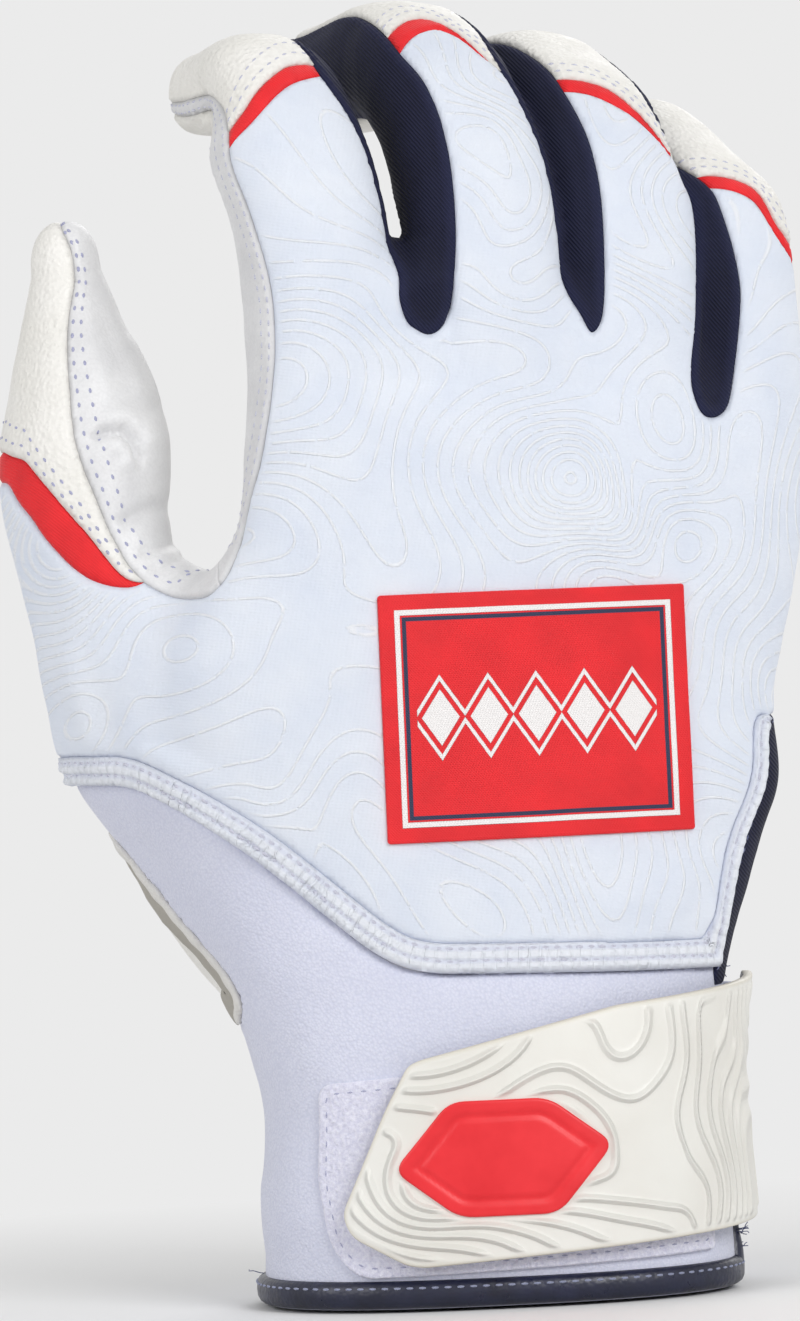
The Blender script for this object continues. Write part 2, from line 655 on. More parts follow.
def stretched(tube, end):
    """Seam coordinates that draw a gusset's lower end out, so that it can be rounded."""
    tube = tube.copy()
    tube[:, 1] += 0.011 * smoothstep((end - tube[:, 1]) / 0.06)
    return tube


def gusset(near, far):
    def field(s):
        a, b = s.tubes[near], s.tubes[far]
        end_near, end_far = GUSSET_FEET[near]
        long_a, long_b = stretched(a, end_near), stretched(b, end_far)
        wrap = GUSSET_WRAPS[far] * smoothstep((b[:, 1] - 0.5) / 0.2)
        side_a = both(past_seam(long_a, FAR_SEAMS[near]), (PALM_ANGLE - a[:, 2]) * SEAM_REACH)
        side_b = both(-past_seam(long_b, NEAR_SEAMS[far]), (PALM_ANGLE + wrap + b[:, 2]) * SEAM_REACH)
        # Neither finger's seam limits the gusset on the other finger.
        not_a, not_b = (3 * np.maximum(side * (a[:, 0] - b[:, 0]) - 1.5, 0) for side in (1, -1))
        end_a = (0.86 - a[:, 1]) * FINGER_LENGTH + not_a
        end_b = (GUSSET_ENDS[far] - b[:, 1]) * FINGER_LENGTH + not_b
        sides = rounded_both(side_a + not_a, side_b + not_b, 5)
        return both(sides, both(end_a, end_b), 6 - np.minimum(a[:, 0], b[:, 0]))
    return field


def beyond(name, which):
    """Millimetres along a digit past the start or end of its band of colour."""
    def field(s):
        tube = s.tubes[name]
        place = curve(ACCENTS[name][which], 2)(tube[:, 2])
        return both((tube[:, 1] - place) * DIGITS[name]["length"], own(s, name))
    return field


def thumb_front(s):
    """The thumb's front alone, and with the leather of the crotch beside it."""
    tube = s.tubes["thumb"]
    round_thumb = either(past_seam(tube, THUMB_RIDGE), (-PALM_ANGLE - tube[:, 2]) * SEAM_REACH)
    front = both(round_thumb, (tube[:, 1] - 0.53) * THUMB_LENGTH, own(s, "thumb", 9))
    return front, either(front, both(crotch_leather(s), CROTCH_SPLIT - s.v[:, 0]))


def crotch_leather(s):
    over = s.v[:, 2] - curve(CROTCH, 0.8)(s.v[:, 0])
    return both(over, s.v[:, 0] + 57, -37 - s.v[:, 0], 140 - s.v[:, 2], (s.hand[:, 1] + 128) * 0.3)


def index_side(s):
    tube = s.tubes["index"]
    sides = both(-past_seam(tube, INDEX_SEAM), (tube[:, 2] + 118) * SEAM_REACH)
    strip = both(sides, 8 - tube[:, 0], (tube[:, 1] - 0.08) * INDEX_LENGTH)
    return either(strip, both(crotch_leather(s), s.v[:, 0] - CROTCH_SPLIT))


def above_welt(s):
    return s.v[:, 2] - curve(WELT, 2)(s.v[:, 0])


def thumb_root(s):
    """The back of the thumb's root, as far as the cloth goes round it."""
    tube = s.tubes["thumb"]
    return both((tube[:, 2] + PALM_ANGLE) * SEAM_REACH, (116 - tube[:, 2]) * SEAM_REACH, 10 - tube[:, 0])


def back(s):
    strips = []
    for name, limit in zip(FOUR_FINGERS, (100, 100, 100, 96)):
        angle = s.tubes[name][:, 2]
        sides = both((angle + 100) * SEAM_REACH, (limit - angle) * SEAM_REACH)
        strips.append(both(sides, own(s, name), s.v[:, 2] - 140))
    web = both((-112 - s.hand[:, 1]) * 0.5, s.v[:, 2] - 98, s.tubes["thumb"][:, 0] - 3)
    outer = 82 + BACK_OUT * smoothstep((s.v[:, 2] - 92) / 46)
    sides = both((s.hand[:, 1] + 146) * 0.5, (outer - s.hand[:, 1]) * 0.5)
    hand = both(sides, either(-web, own(s, "thumb")))
    return both(either(hand, thumb_root(s), *strips), above_welt(s))


def ulnar(s):
    angle, z = s.hand[:, 1], s.v[:, 2]
    front = rounded_both((angle - curve(ULNAR_SEAM, 2)(z)) * 0.6, 95 - z, 6)
    return both(front, rounded_both((128 - angle) * 0.6, 95 - z, 9), z - 50)


def cuff(s):
    angle, z = s.hand[:, 1], s.v[:, 2]
    corner = rounded_both((curve(CORNER_SIDE, 2)(z) - angle) * 0.5, z - curve(CORNER_FOOT, 8)(angle), 3)
    top = 51 + 40 * smoothstep((72 - angle) / 8)
    palm_side = rounded_both((120 - angle) * 0.5, top - z, 4)
    round_wrist = either(both(either(palm_side, thumb_root(s)), -above_welt(s)), 41 - z)
    return both(round_wrist, either(-corner, angle))


PANELS = []


def cut_panels(s):
    """Cuts the skin into the glove's panels; a panel's label is its place in PANELS."""
    def panel(name, field):
        s.cut(field, len(PANELS))
        PANELS.append(name)

    panel("below", lambda s: -s.v[:, 2])
    s.drop(0)
    for near, far in WEBS:
        panel(f"gusset_{near}_{far}", gusset(near, far))
    off_thumb = lambda s: either(s.tubes["thumb"][:, 0] - 1, -thumb_front(s)[0])
    panel("index_side_leather", lambda s: both(index_side(s), off_thumb(s)))
    for name in FOUR_FINGERS:
        round_finger = lambda s: (100 - abs(s.tubes[name][:, 2])) * SEAM_REACH
        panel(f"{name}_tip", beyond(name, 1))
        panel(f"{name}_accent", lambda s: both(beyond(name, 0)(s), round_finger(s)))
    panel("thumb_front_leather", lambda s: thumb_front(s)[1])
    panel("thumb_back_leather", beyond("thumb", 1))
    panel("thumb_accent", beyond("thumb", 0))
    panel("ulnar_panel", ulnar)
    panel("back_panel", back)
    panel("cuff_panel", cuff)
    s.label[s.label == -1] = len(PANELS)
    PANELS.append("palm_leather")


def tidy_labels(s, smallest=60):
    """Gives each crumb of a panel to the panel beside it."""
    _, _, a, b = neighbours(s.f)
    for _ in range(2):
        part = np.arange(len(s.f))
        joined = s.label[a] == s.label[b]
        while True:
            low = np.minimum(part[a[joined]], part[b[joined]])
            new = part.copy()
            np.minimum.at(new, a[joined], low)
            np.minimum.at(new, b[joined], low)
            new = new[new]
            if (new == part).all():
                break
            part = new
        size = np.bincount(part, minlength=len(part))
        crumb = size[part] < smallest
        changed = False
        for x, y in ((a, b), (b, a)):
            edge = crumb[x] & ~crumb[y] & (s.label[x] != s.label[y])
            for p, q in zip(part[x[edge]], s.label[y[edge]]):
                if size[p] < smallest:
                    s.label[part == p] = q
                    size[p] = smallest
                    changed = True
        if not changed:
            return


def settle_labels(s, rounds=4):
    """Gives each triangle that lies between two of another panel to that panel."""
    everyone = np.arange(len(s.f))
    _, _, a, b = neighbours(s.f)
    for _ in range(rounds):
        votes = np.zeros((len(s.f), s.label.max() + 1), int)
        np.add.at(votes, (a, s.label[b]), 1)
        np.add.at(votes, (b, s.label[a]), 1)
        best = votes.argmax(1)
        changed = (votes[everyone, best] > 1) & (votes[everyone, s.label] < 2)
        s.label[changed] = best[changed]


def smooth_seams(s, reach=1.2, spread=24):
    """Smooths the seams along the skin over a distance, and takes the vertices beside them along."""
    tree = BVHTree.FromPolygons(s.v.tolist(), s.f.tolist())
    edges, pairs, first, second = neighbours(s.f)
    seam = pairs[s.label[first] != s.label[second]]

    def ends_at(links):
        return np.bincount(links.ravel(), minlength=len(s.v))

    free = ends_at(seam) == 2
    moved = s.v.copy()
    step = np.linalg.norm(s.v[seam[:, 0]] - s.v[seam[:, 1]], axis=1).mean()
    for _ in range(int(2 * (reach / step) ** 2)):
        moved[free] += 0.25 * (beside(moved, *seam.T) - 2 * moved)[free]
    shift = moved - s.v
    open_rim = ends_at(edges) != 2 * ends_at(pairs)
    shift[open_rim] = 0
    loose = ~open_rim & (ends_at(seam) == 0)
    degree = np.maximum(ends_at(pairs), 1)[:, None]
    for _ in range(spread):
        shift[loose] = (beside(shift, *pairs.T) / degree)[loose] * 0.97
    ids = np.flatnonzero(np.linalg.norm(shift, axis=1) > 0.003)
    s.v[ids] = [tree.find_nearest(p)[0] for p in s.v[ids] + shift[ids]]
    s.measure(ids)


skin = Skin(*make_skin(VOXEL))
cut_panels(skin)
tidy_labels(skin)
settle_labels(skin)
smooth_seams(skin)


def vertex_normals(v, f):
    face = np.cross(v[f[:, 1]] - v[f[:, 0]], v[f[:, 2]] - v[f[:, 0]])
    normals = np.zeros_like(v)
    for i in range(3):
        for j in range(3):
            normals[:, j] += np.bincount(f[:, i], face[:, j], len(v))
    return normals / np.maximum(np.linalg.norm(normals, axis=1), 1e-9)[:, None]


def even_normals(v, f, rounds=2):
    """Vertex normals averaged with their neighbours', so that a sliver can't turn one."""
    normals = vertex_normals(v, f)
    for _ in range(rounds):
        total = normals.copy()
        for i in range(3):
            pair = normals[f[:, (i + 1) % 3]] + normals[f[:, (i + 2) % 3]]
            for j in range(3):
                total[:, j] += np.bincount(f[:, i], pair[:, j], len(v)) * 0.5
        normals = total / np.maximum(np.linalg.norm(total, axis=1), 1e-9)[:, None]
    return normals


NORMALS_BEFORE = even_normals(skin.v, skin.f)

# Corrections of the outline, in millimetres sideways at heights, for faces that look left or right.
WRIST_LEFT = [(8, 0), (13, -0.7), (20, -0.7), (30, -0.2), (36, -0.4), (42, -0.9), (50, -1.2), (56, -0.4),
              (61, -0.4), (66, -0.3), (71, 0.7), (76, 1.1), (81, -0.8), (86, -1.5), (91, -3.4), (96, -2.4),
              (107, -1.8), (114, -0.4), (121, -0.5), (127, -0.8), (132, -1.6), (140, -1.3), (147, -1.2),
              (151, -0.2), (154, 0)]
PALM_RIGHT = [(60, 0), (65, -0.4), (70, -1.4), (76, -2.5), (80, -0.6), (84, 0.2), (87, -0.5), (90, -2.1),
              (96, -3.9), (101, -4.2), (106, -2.8), (111, -2), (116, -1.6), (128, -1), (140, 0)]
THUMB_INNER = [(112, 0), (117, -2), (120, -2.4), (124, -2), (131, -3), (135, -1.4), (139, 0), (145, 1.3),
               (155, 1.2), (165, 0)]
INDEX_OUTER = [(130, 0), (165, 0), (176, -0.3), (182, -0.8), (187, -1.8), (191.5, -3.4), (194, -2.6),
               (196.5, 0), (200, 0)]
# Soft folds and creases: photograph points, half width and height in millimetres.
FOLDS = [
    ([(700, 935), (728, 880), (752, 830)], 2.4, 0.5),
    ([(600, 905), (655, 890), (700, 862)], 3.2, 0.45),
    ([(560, 880), (600, 930)], 3.5, 0.4),
    ([(655, 925), (680, 895)], 2.2, 0.4),
    ([(62, 640), (78, 700), (92, 755)], 2.2, 0.5),
    ([(84, 640), (100, 700), (116, 750)], 2.4, -0.3),
    ([(235, 585), (300, 600), (350, 590)], 5, -0.35),
    ([(262, 470), (285, 540), (280, 590)], 4, 0.35),
    ([(500, 560), (620, 500), (700, 470)], 7, 0.5),
    ([(300, 1000), (330, 1060), (350, 1090)], 4, 0.35),
    ([(272, 960), (268, 1040), (275, 1100)], 5, -0.3),
    ([(250, 1180), (300, 1230)], 4, 0.3),
    ([(94, 441), (106, 432), (122, 432), (134, 444), (139, 466)], 0.8, -2.4),
    ([(110, 456), (119, 447), (127, 454), (129, 474)], 2.0, 1.1),
    ([(104, 420), (124, 417), (144, 428), (152, 452)], 2.2, 1.1),
    ([(126, 330), (140, 372), (150, 410)], 3.0, 0.35),
    ([(100, 300), (118, 350), (126, 400)], 2.4, -0.25),
    ([(120, 524), (142, 512), (162, 502)], 1.1, -0.9),
    ([(130, 536), (150, 528), (170, 520)], 1.6, 0.5),
    ([(140, 556), (160, 548), (178, 543)], 1.0, -0.9),
    ([(150, 572), (168, 563), (184, 558)], 0.9, -0.8),
    ([(396, 226), (408, 275), (424, 318)], 1.5, -0.9),
    ([(420, 236), (430, 265), (438, 296)], 2.2, 0.5),
    ([(192, 76), (200, 100), (208, 118)], 1.4, -1.2),
    ([(180, 95), (192, 104), (200, 112)], 2.2, 0.9),
]


def correct_outline(s, normals):
    """Moves the sides of the glove in or out by the tables above."""
    z = s.v[:, 2]
    left, right = (np.clip((sign * normals[:, 0] + 0.2) / 0.9, 0, 1) ** 1.3 for sign in (-1, 1))
    thumb, index = (smoothstep((6 - s.tubes[name][:, 0]) / 4) for name in ("thumb", "index"))
    outer = smoothstep((np.interp(z, (80, 95), (-25, -50)) - s.v[:, 0]) / 6)
    shift = curve(WRIST_LEFT, 3)(z) * left * outer
    shift += curve(PALM_RIGHT, 4)(z) * right * smoothstep((s.v[:, 0] - 18) / 14)
    shift += curve(THUMB_INNER, 2)(z) * right * thumb * smoothstep((-37 - s.v[:, 0]) / 6)
    shift += curve(INDEX_OUTER, 3)(z) * left * index * smoothstep((-16 - s.v[:, 0]) / 8)
    s.v[:, 0] += shift
    for name, start, reach in (("little", 0.63, (-2.6, 0, -3.0)), ("ring", 0.66, (-0.6, 0, -1.1))):
        tube = s.tubes[name]
        share = smoothstep((tube[:, 1] - start) / 0.12) * smoothstep((5 - tube[:, 0]) / 3)
        s.v += share[:, None] * np.array(reach)


def add_folds(s, normals):
    """Soft folds over the whole skin, and the ones that the photograph shows."""
    front = smoothstep((-normals[:, 1] + 0.4) / 0.5)
    places = s.v[:, [0, 2]]
    rise = np.zeros(len(s.v))
    for points, width, height in FOLDS:
        line = np.array([px(x, y) for x, y in points])
        nearest, along = np.full(len(s.v), 1e9), np.zeros(len(s.v))
        for i, (a, b) in enumerate(zip(line, line[1:])):
            d = b - a
            share = np.clip(((places - a) @ d) / (d @ d), 0, 1)
            gap = np.linalg.norm(places - a - share[:, None] * d, axis=1)
            along = np.where(gap < nearest, (i + share) / (len(line) - 1), along)
            nearest = np.minimum(nearest, gap)
        fade = np.clip(np.minimum(along, 1 - along) * 5 + 0.25, 0, 1)
        rise += height * np.exp(-((nearest / width) ** 2)) * fade * front
    soft = np.array([noise.noise(Vector(p) / 17) * 0.45
                     + noise.noise(Vector(p) / 7 + Vector((9, 2, 5))) * 0.16 for p in s.v])
    s.v += normals * (rise + soft * smoothstep((s.v[:, 2] - 3) / 10))[:, None]


correct_outline(skin, NORMALS_BEFORE)
add_folds(skin, NORMALS_BEFORE)
SKIN_NORMALS = even_normals(skin.v, skin.f)


# ---------------------------------------------------------------- pieces
SKIN_TREE = BVHTree.FromPolygons(skin.v.tolist(), skin.f.tolist())


def shell(name, top, bottom, faces, rim, gap):
    """A closed solid between two surfaces, which keeps every point's distance from its rim."""
    count = len(top)
    a, b = rim
    sides = np.vstack([np.column_stack([b, a, a + count]), np.column_stack([b, a + count, b + count])])
    obj = mesh_object(name, np.vstack([top, bottom]), np.vstack([faces, faces[:, ::-1] + count, sides]))
    add_values(obj, seam=gap)
    return obj


def add_values(obj, **values):
    """Values for the material at each point; a short table is repeated for the inner surface."""
    for key, table in values.items():
        data = obj.data.attributes.new(key, "FLOAT", "POINT").data
        data.foreach_set("value", np.resize(table, len(data)).astype(np.float32))


class Panel:
    """The part of the skin with one label, with every vertex's distance from its edge.

    The edge that it shares with its sister panel is left out: there the two are one surface."""

    def __init__(self, name, sister=None):
        faces = skin.f[skin.label == PANELS.index(name)]
        self.name = name
        self.ids, inverse = np.unique(faces, return_inverse=True)
        self.f = inverse.reshape(-1, 3)
        self.v, self.n = skin.v[self.ids], SKIN_NORMALS[self.ids]
        edges = edges_of(self.f)
        _, first, count = np.unique(np.sort(edges, axis=1), axis=0, return_index=True, return_counts=True)
        self.rim = edges[first[count == 1]]
        places = self.rim[:, 0]
        if sister:
            theirs = np.unique(skin.f[skin.label == PANELS.index(sister)])
            places = places[~np.isin(self.ids[self.rim], theirs).all(1)]
        find = nearest_to(self.v[places])
        self.edge = np.array([find(p)[2] for p in self.v])

    def solid(self, lift=0.0, thickness=1.1, roll=0.45, roll_width=1.1):
        """Makes the panel a closed solid, its edge rolled inwards and its face lifted."""
        rolled = np.clip(1 - self.edge / roll_width, 0, 1) ** 2 * roll
        self.outer = self.v + self.n * (lift - rolled)[:, None]
        inner = self.v - self.n * thickness
        self.obj = shell(self.name + "_sewn", self.outer, inner, self.f, self.rim.T, self.edge)


def isolines(v, n, f, values, level=0.0):
    """Lines on a mesh along which a value is the level: lists of points and normals."""
    values = values - level
    values = np.where(values == 0, 1e-9, values)

    def between(table, key, share):
        return table[key[0]] + share * (table[key[1]] - table[key[0]])

    sign = values[f] > 0
    crossed = f[sign.any(1) & ~sign.all(1)]
    links, places = {}, {}
    for tri in crossed.tolist():
        ends = []
        for p, q in ((tri[0], tri[1]), (tri[1], tri[2]), (tri[2], tri[0])):
            if (values[p] > 0) != (values[q] > 0):
                key = (min(p, q), max(p, q))
                if key not in places:
                    share = values[key[0]] / (values[key[0]] - values[key[1]])
                    places[key] = between(v, key, share), between(n, key, share)
                ends.append(key)
        links.setdefault(ends[0], []).append(ends[1])
        links.setdefault(ends[1], []).append(ends[0])
    lines, seen = [], set()
    for start in sorted(links, key=lambda key: (len(links[key]), key)):
        if start in seen:
            continue
        line, here = [start], start
        seen.add(start)
        while True:
            onward = [key for key in links[here] if key not in seen]
            if not onward:
                break
            here = onward[0]
            seen.add(here)
            line.append(here)
        if len(line) > 3:
            lines.append(tuple(np.array([places[key][i] for key in line]) for i in range(2)))
    return lines


def spaced(points, normals, pitch):
    """Points, directions and normals at an even pitch along a line."""
    along = lengths_along(points)
    count = int(along[-1] / pitch)
    if count < 2:
        return None
    even = (np.arange(count) + 0.5) * along[-1] / count
    ahead, behind = (interpolated(along, points, even + side * pitch) for side in (0.4, -0.4))
    return interpolated(along, points, even), ahead - behind, interpolated(along, normals, even)


STITCHES = {}
# A stitch's rings: place along it, width and height as shares.
STITCH_RINGS = [(-0.5, 0.05, -0.35), (-0.36, 0.7, -0.1), (0, 1, 0), (0.36, 0.7, -0.1), (0.5, 0.05, -0.35)]
STITCH_SIDES = 6


def stitch(kind, lines, pitch=2.1, length=1.35, width=0.5, sink=0.0, keep=None):
    """Short threads along lines, gathered by kind into one mesh each."""
    turn = np.linspace(0, 2 * math.pi, STITCH_SIDES + 1)[:-1]
    vertices, faces = STITCHES.setdefault(kind, ([], []))
    for points, normals in lines:
        for p, d, n in zip(*(spaced(points, normals, pitch) or ([], [], []))):
            if keep is not None and not keep(p):
                continue
            d = d / np.linalg.norm(d)
            n = n - d * (n @ d)
            n /= np.linalg.norm(n)
            side = np.cross(n, d)
            start = len(vertices)
            for shift, size, drop in STITCH_RINGS:
                centre = p + d * shift * length + n * (drop * width - sink)
                for a in turn:
                    vertices.append(centre + (side * math.cos(a) + n * 0.8 * math.sin(a)) * width / 2 * size)
            for b in range(start, len(vertices) - STITCH_SIDES, STITCH_SIDES):
                for i in range(STITCH_SIDES):
                    j = (i + 1) % STITCH_SIDES
                    faces.append((b + i, b + j, b + j + STITCH_SIDES, b + i + STITCH_SIDES))
            faces.append(tuple(start + i for i in reversed(range(STITCH_SIDES))))
            faces.append(tuple(range(len(vertices) - STITCH_SIDES, len(vertices))))


# Rows of points beside a flat outline's rim, in millimetres from it.
RIM_ROWS = (0.12, 0.3, 0.6, 1.0)
# The height of a row of even triangles, as a share of their side.
ROW_HEIGHT = 0.866


def polygon_grid(outline, spacing):
    """Points of a flat outline, its triangles, the number of points on its rim, and distances from it."""
    outline = np.array(outline, float)
    following = np.roll(outline, -1, 0)
    rim = []
    for a, b, length in zip(outline, following, np.linalg.norm(following - outline, axis=1)):
        count = max(int(round(length / spacing)), 1)
        rim.append(a + (b - a) * np.linspace(0, 1, count, endpoint=False)[:, None])
    rim = np.vstack(rim)
    if ((rim[:, 0] * np.roll(rim[:, 1], -1) - np.roll(rim[:, 0], -1) * rim[:, 1]).sum()) < 0:
        rim = rim[::-1]
    tangent = unit(np.roll(rim, -1, 0) - rim) + unit(rim - np.roll(rim, 1, 0))
    inward = unit(np.column_stack([-tangent[:, 1], tangent[:, 0]]))
    low, high = rim.min(0), rim.max(0)
    grid = []
    for i, z in enumerate(np.arange(low[1], high[1], spacing * ROW_HEIGHT)):
        x = np.arange(low[0] + (i % 2) * spacing / 2, high[0], spacing)
        grid.append(np.column_stack([x, np.full(len(x), z)]))
    points = np.vstack([rim + inward * row for row in RIM_ROWS] + grid)
    wanted = np.full(len(points), max(RIM_ROWS) + spacing * 0.6)
    wanted[:len(RIM_ROWS) * len(rim)] = np.repeat(RIM_ROWS, len(rim))
    points = np.vstack([rim, points[rim_distance(points, rim) > wanted * 0.9]])
    edges = [(i, (i + 1) % len(rim)) for i in range(len(rim))]
    made, _, faces, *_ = delaunay_2d_cdt([Vector(p) for p in points], edges, [], 1, 1e-6)
    made = np.array([list(p) for p in made])
    faces = np.array([list(f) for f in faces if len(f) == 3])
    area = np.cross(made[faces[:, 1]] - made[faces[:, 0]], made[faces[:, 2]] - made[faces[:, 0]])
    faces = np.where((area > 0)[:, None], faces, faces[:, ::-1])
    gap = np.abs(rim_distance(made, rim))
    gap[:len(rim)] = 0
    return made, faces, len(rim), gap


def rim_distance(points, rim):
    """Distance of points to a closed outline, negative outside it."""
    nearest = np.full(len(points), 1e9)
    inside = np.zeros(len(points), bool)
    for a, b in zip(rim, np.roll(rim, -1, 0)):
        d = b - a
        share = np.clip(((points - a) @ d) / (d @ d), 0, 1)
        nearest = np.minimum(nearest, np.linalg.norm(points - a - share[:, None] * d, axis=1))
        over = (a[1] > points[:, 1]) != (b[1] > points[:, 1])
        if over.any():
            x = a[0] + (points[:, 1] - a[1]) / (d[1] if d[1] else 1e-9) * d[0]
            inside ^= over & (points[:, 0] < x)
    return np.where(inside, nearest, -nearest)


def rounded_outline(corners, radii, steps=6):
    """An outline with each corner rounded off."""
    out = []
    corners = [np.array(c, float) for c in corners]
    for i, (corner, radius) in enumerate(zip(corners, np.broadcast_to(radii, len(corners)))):
        before, after = corners[i - 1] - corner, corners[(i + 1) % len(corners)] - corner
        lb, la = np.linalg.norm(before), np.linalg.norm(after)
        cut = min(radius, lb * 0.45, la * 0.45)
        p, q = corner + before / lb * cut, corner + after / la * cut
        for t in np.arange(steps + 1) / steps:
            out.append((1 - t) ** 2 * p + 2 * t * (1 - t) * corner + t * t * q)
    return np.array(out)


class Patch:
    """A sheet over a flat outline. place turns flat points and a height into space."""

    def __init__(self, name, outline, place, inner, outer, spacing=0.8, rounding=0.5, relief=None):
        self.flat, self.f, rim, self.edge = polygon_grid(outline, spacing)
        share = np.clip(rounding - self.edge, 0, None) / rounding
        fall = rounding * (1 - np.sqrt(np.clip(1 - share**2, 0, 1)))
        height = outer - fall
        if relief is not None:
            height = height + relief(self.flat, self.edge)
        self.outer = place(self.flat, height)
        self.n = vertex_normals(self.outer, self.f)
        bottom = place(self.flat, np.full(len(self.flat), inner) + fall * 0.3)
        ring = np.arange(rim)
        self.obj = shell(name, self.outer, bottom, self.f, (ring, np.roll(ring, -1)), self.edge)


def stitch_inside(kind, piece, place, *sizes):
    """A row of stitches at a distance inside a piece's edge."""
    stitch(kind, isolines(piece.outer, piece.n, piece.f, piece.edge, place), *sizes)


# The wrist's surface laid flat: millimetres round it from its back, and up.
ROUND_ANGLES = np.linspace(-180, 180, 721)
ROUND_POINTS = hand_point(ROUND_ANGLES, np.full(721, 28.0))
ROUND_PLACES = lengths_along(ROUND_POINTS)
ROUND_PLACES -= np.interp(0, ROUND_ANGLES, ROUND_PLACES)


def wrist(flat, height, step=0.5):
    """Flat points at a height over the wrist."""
    angle = np.interp(flat[:, 0], ROUND_PLACES, ROUND_ANGLES)
    low = hand_point(angle, flat[:, 1], 0)
    outward = hand_point(angle, flat[:, 1], 4) - low
    outward[:, 2] = 0
    along = hand_point(angle + step, flat[:, 1], 0) - hand_point(angle - step, flat[:, 1], 0)
    normal = np.cross(along, UP)
    normal *= np.sign((normal * outward).sum(1))[:, None]
    return low + unit(normal) * height[:, None]


def on_wrist(points):
    """Photograph-like x and z points of the back of the wrist as flat points."""
    angles = np.linspace(-89, 89, 400)
    out = []
    for x, z in points:
        xs = hand_point(angles, np.full(400, float(z)), 3)[:, 0]
        out.append((np.interp(np.interp(x, xs, angles), ROUND_ANGLES, ROUND_PLACES), z))
    return out


def over_skin(flat, height):
    """Flat x and z points at a height over the back of the hand."""
    out = np.empty((len(flat), 3))
    for i, ((x, z), h) in enumerate(zip(flat, height)):
        loc, normal, *_ = SKIN_TREE.ray_cast(Vector((x, -100, z)), Vector((0, 1, 0)))
        out[i] = np.array(loc) + np.array(normal if normal.y < 0 else -normal) * h
    return out


# ---------------------------------------------------------------- materials
def srgb(*values):
    return tuple(((c / 255 + 0.055) / 1.055) ** 2.4 if c > 10 else c / 255 / 12.92 for c in values)


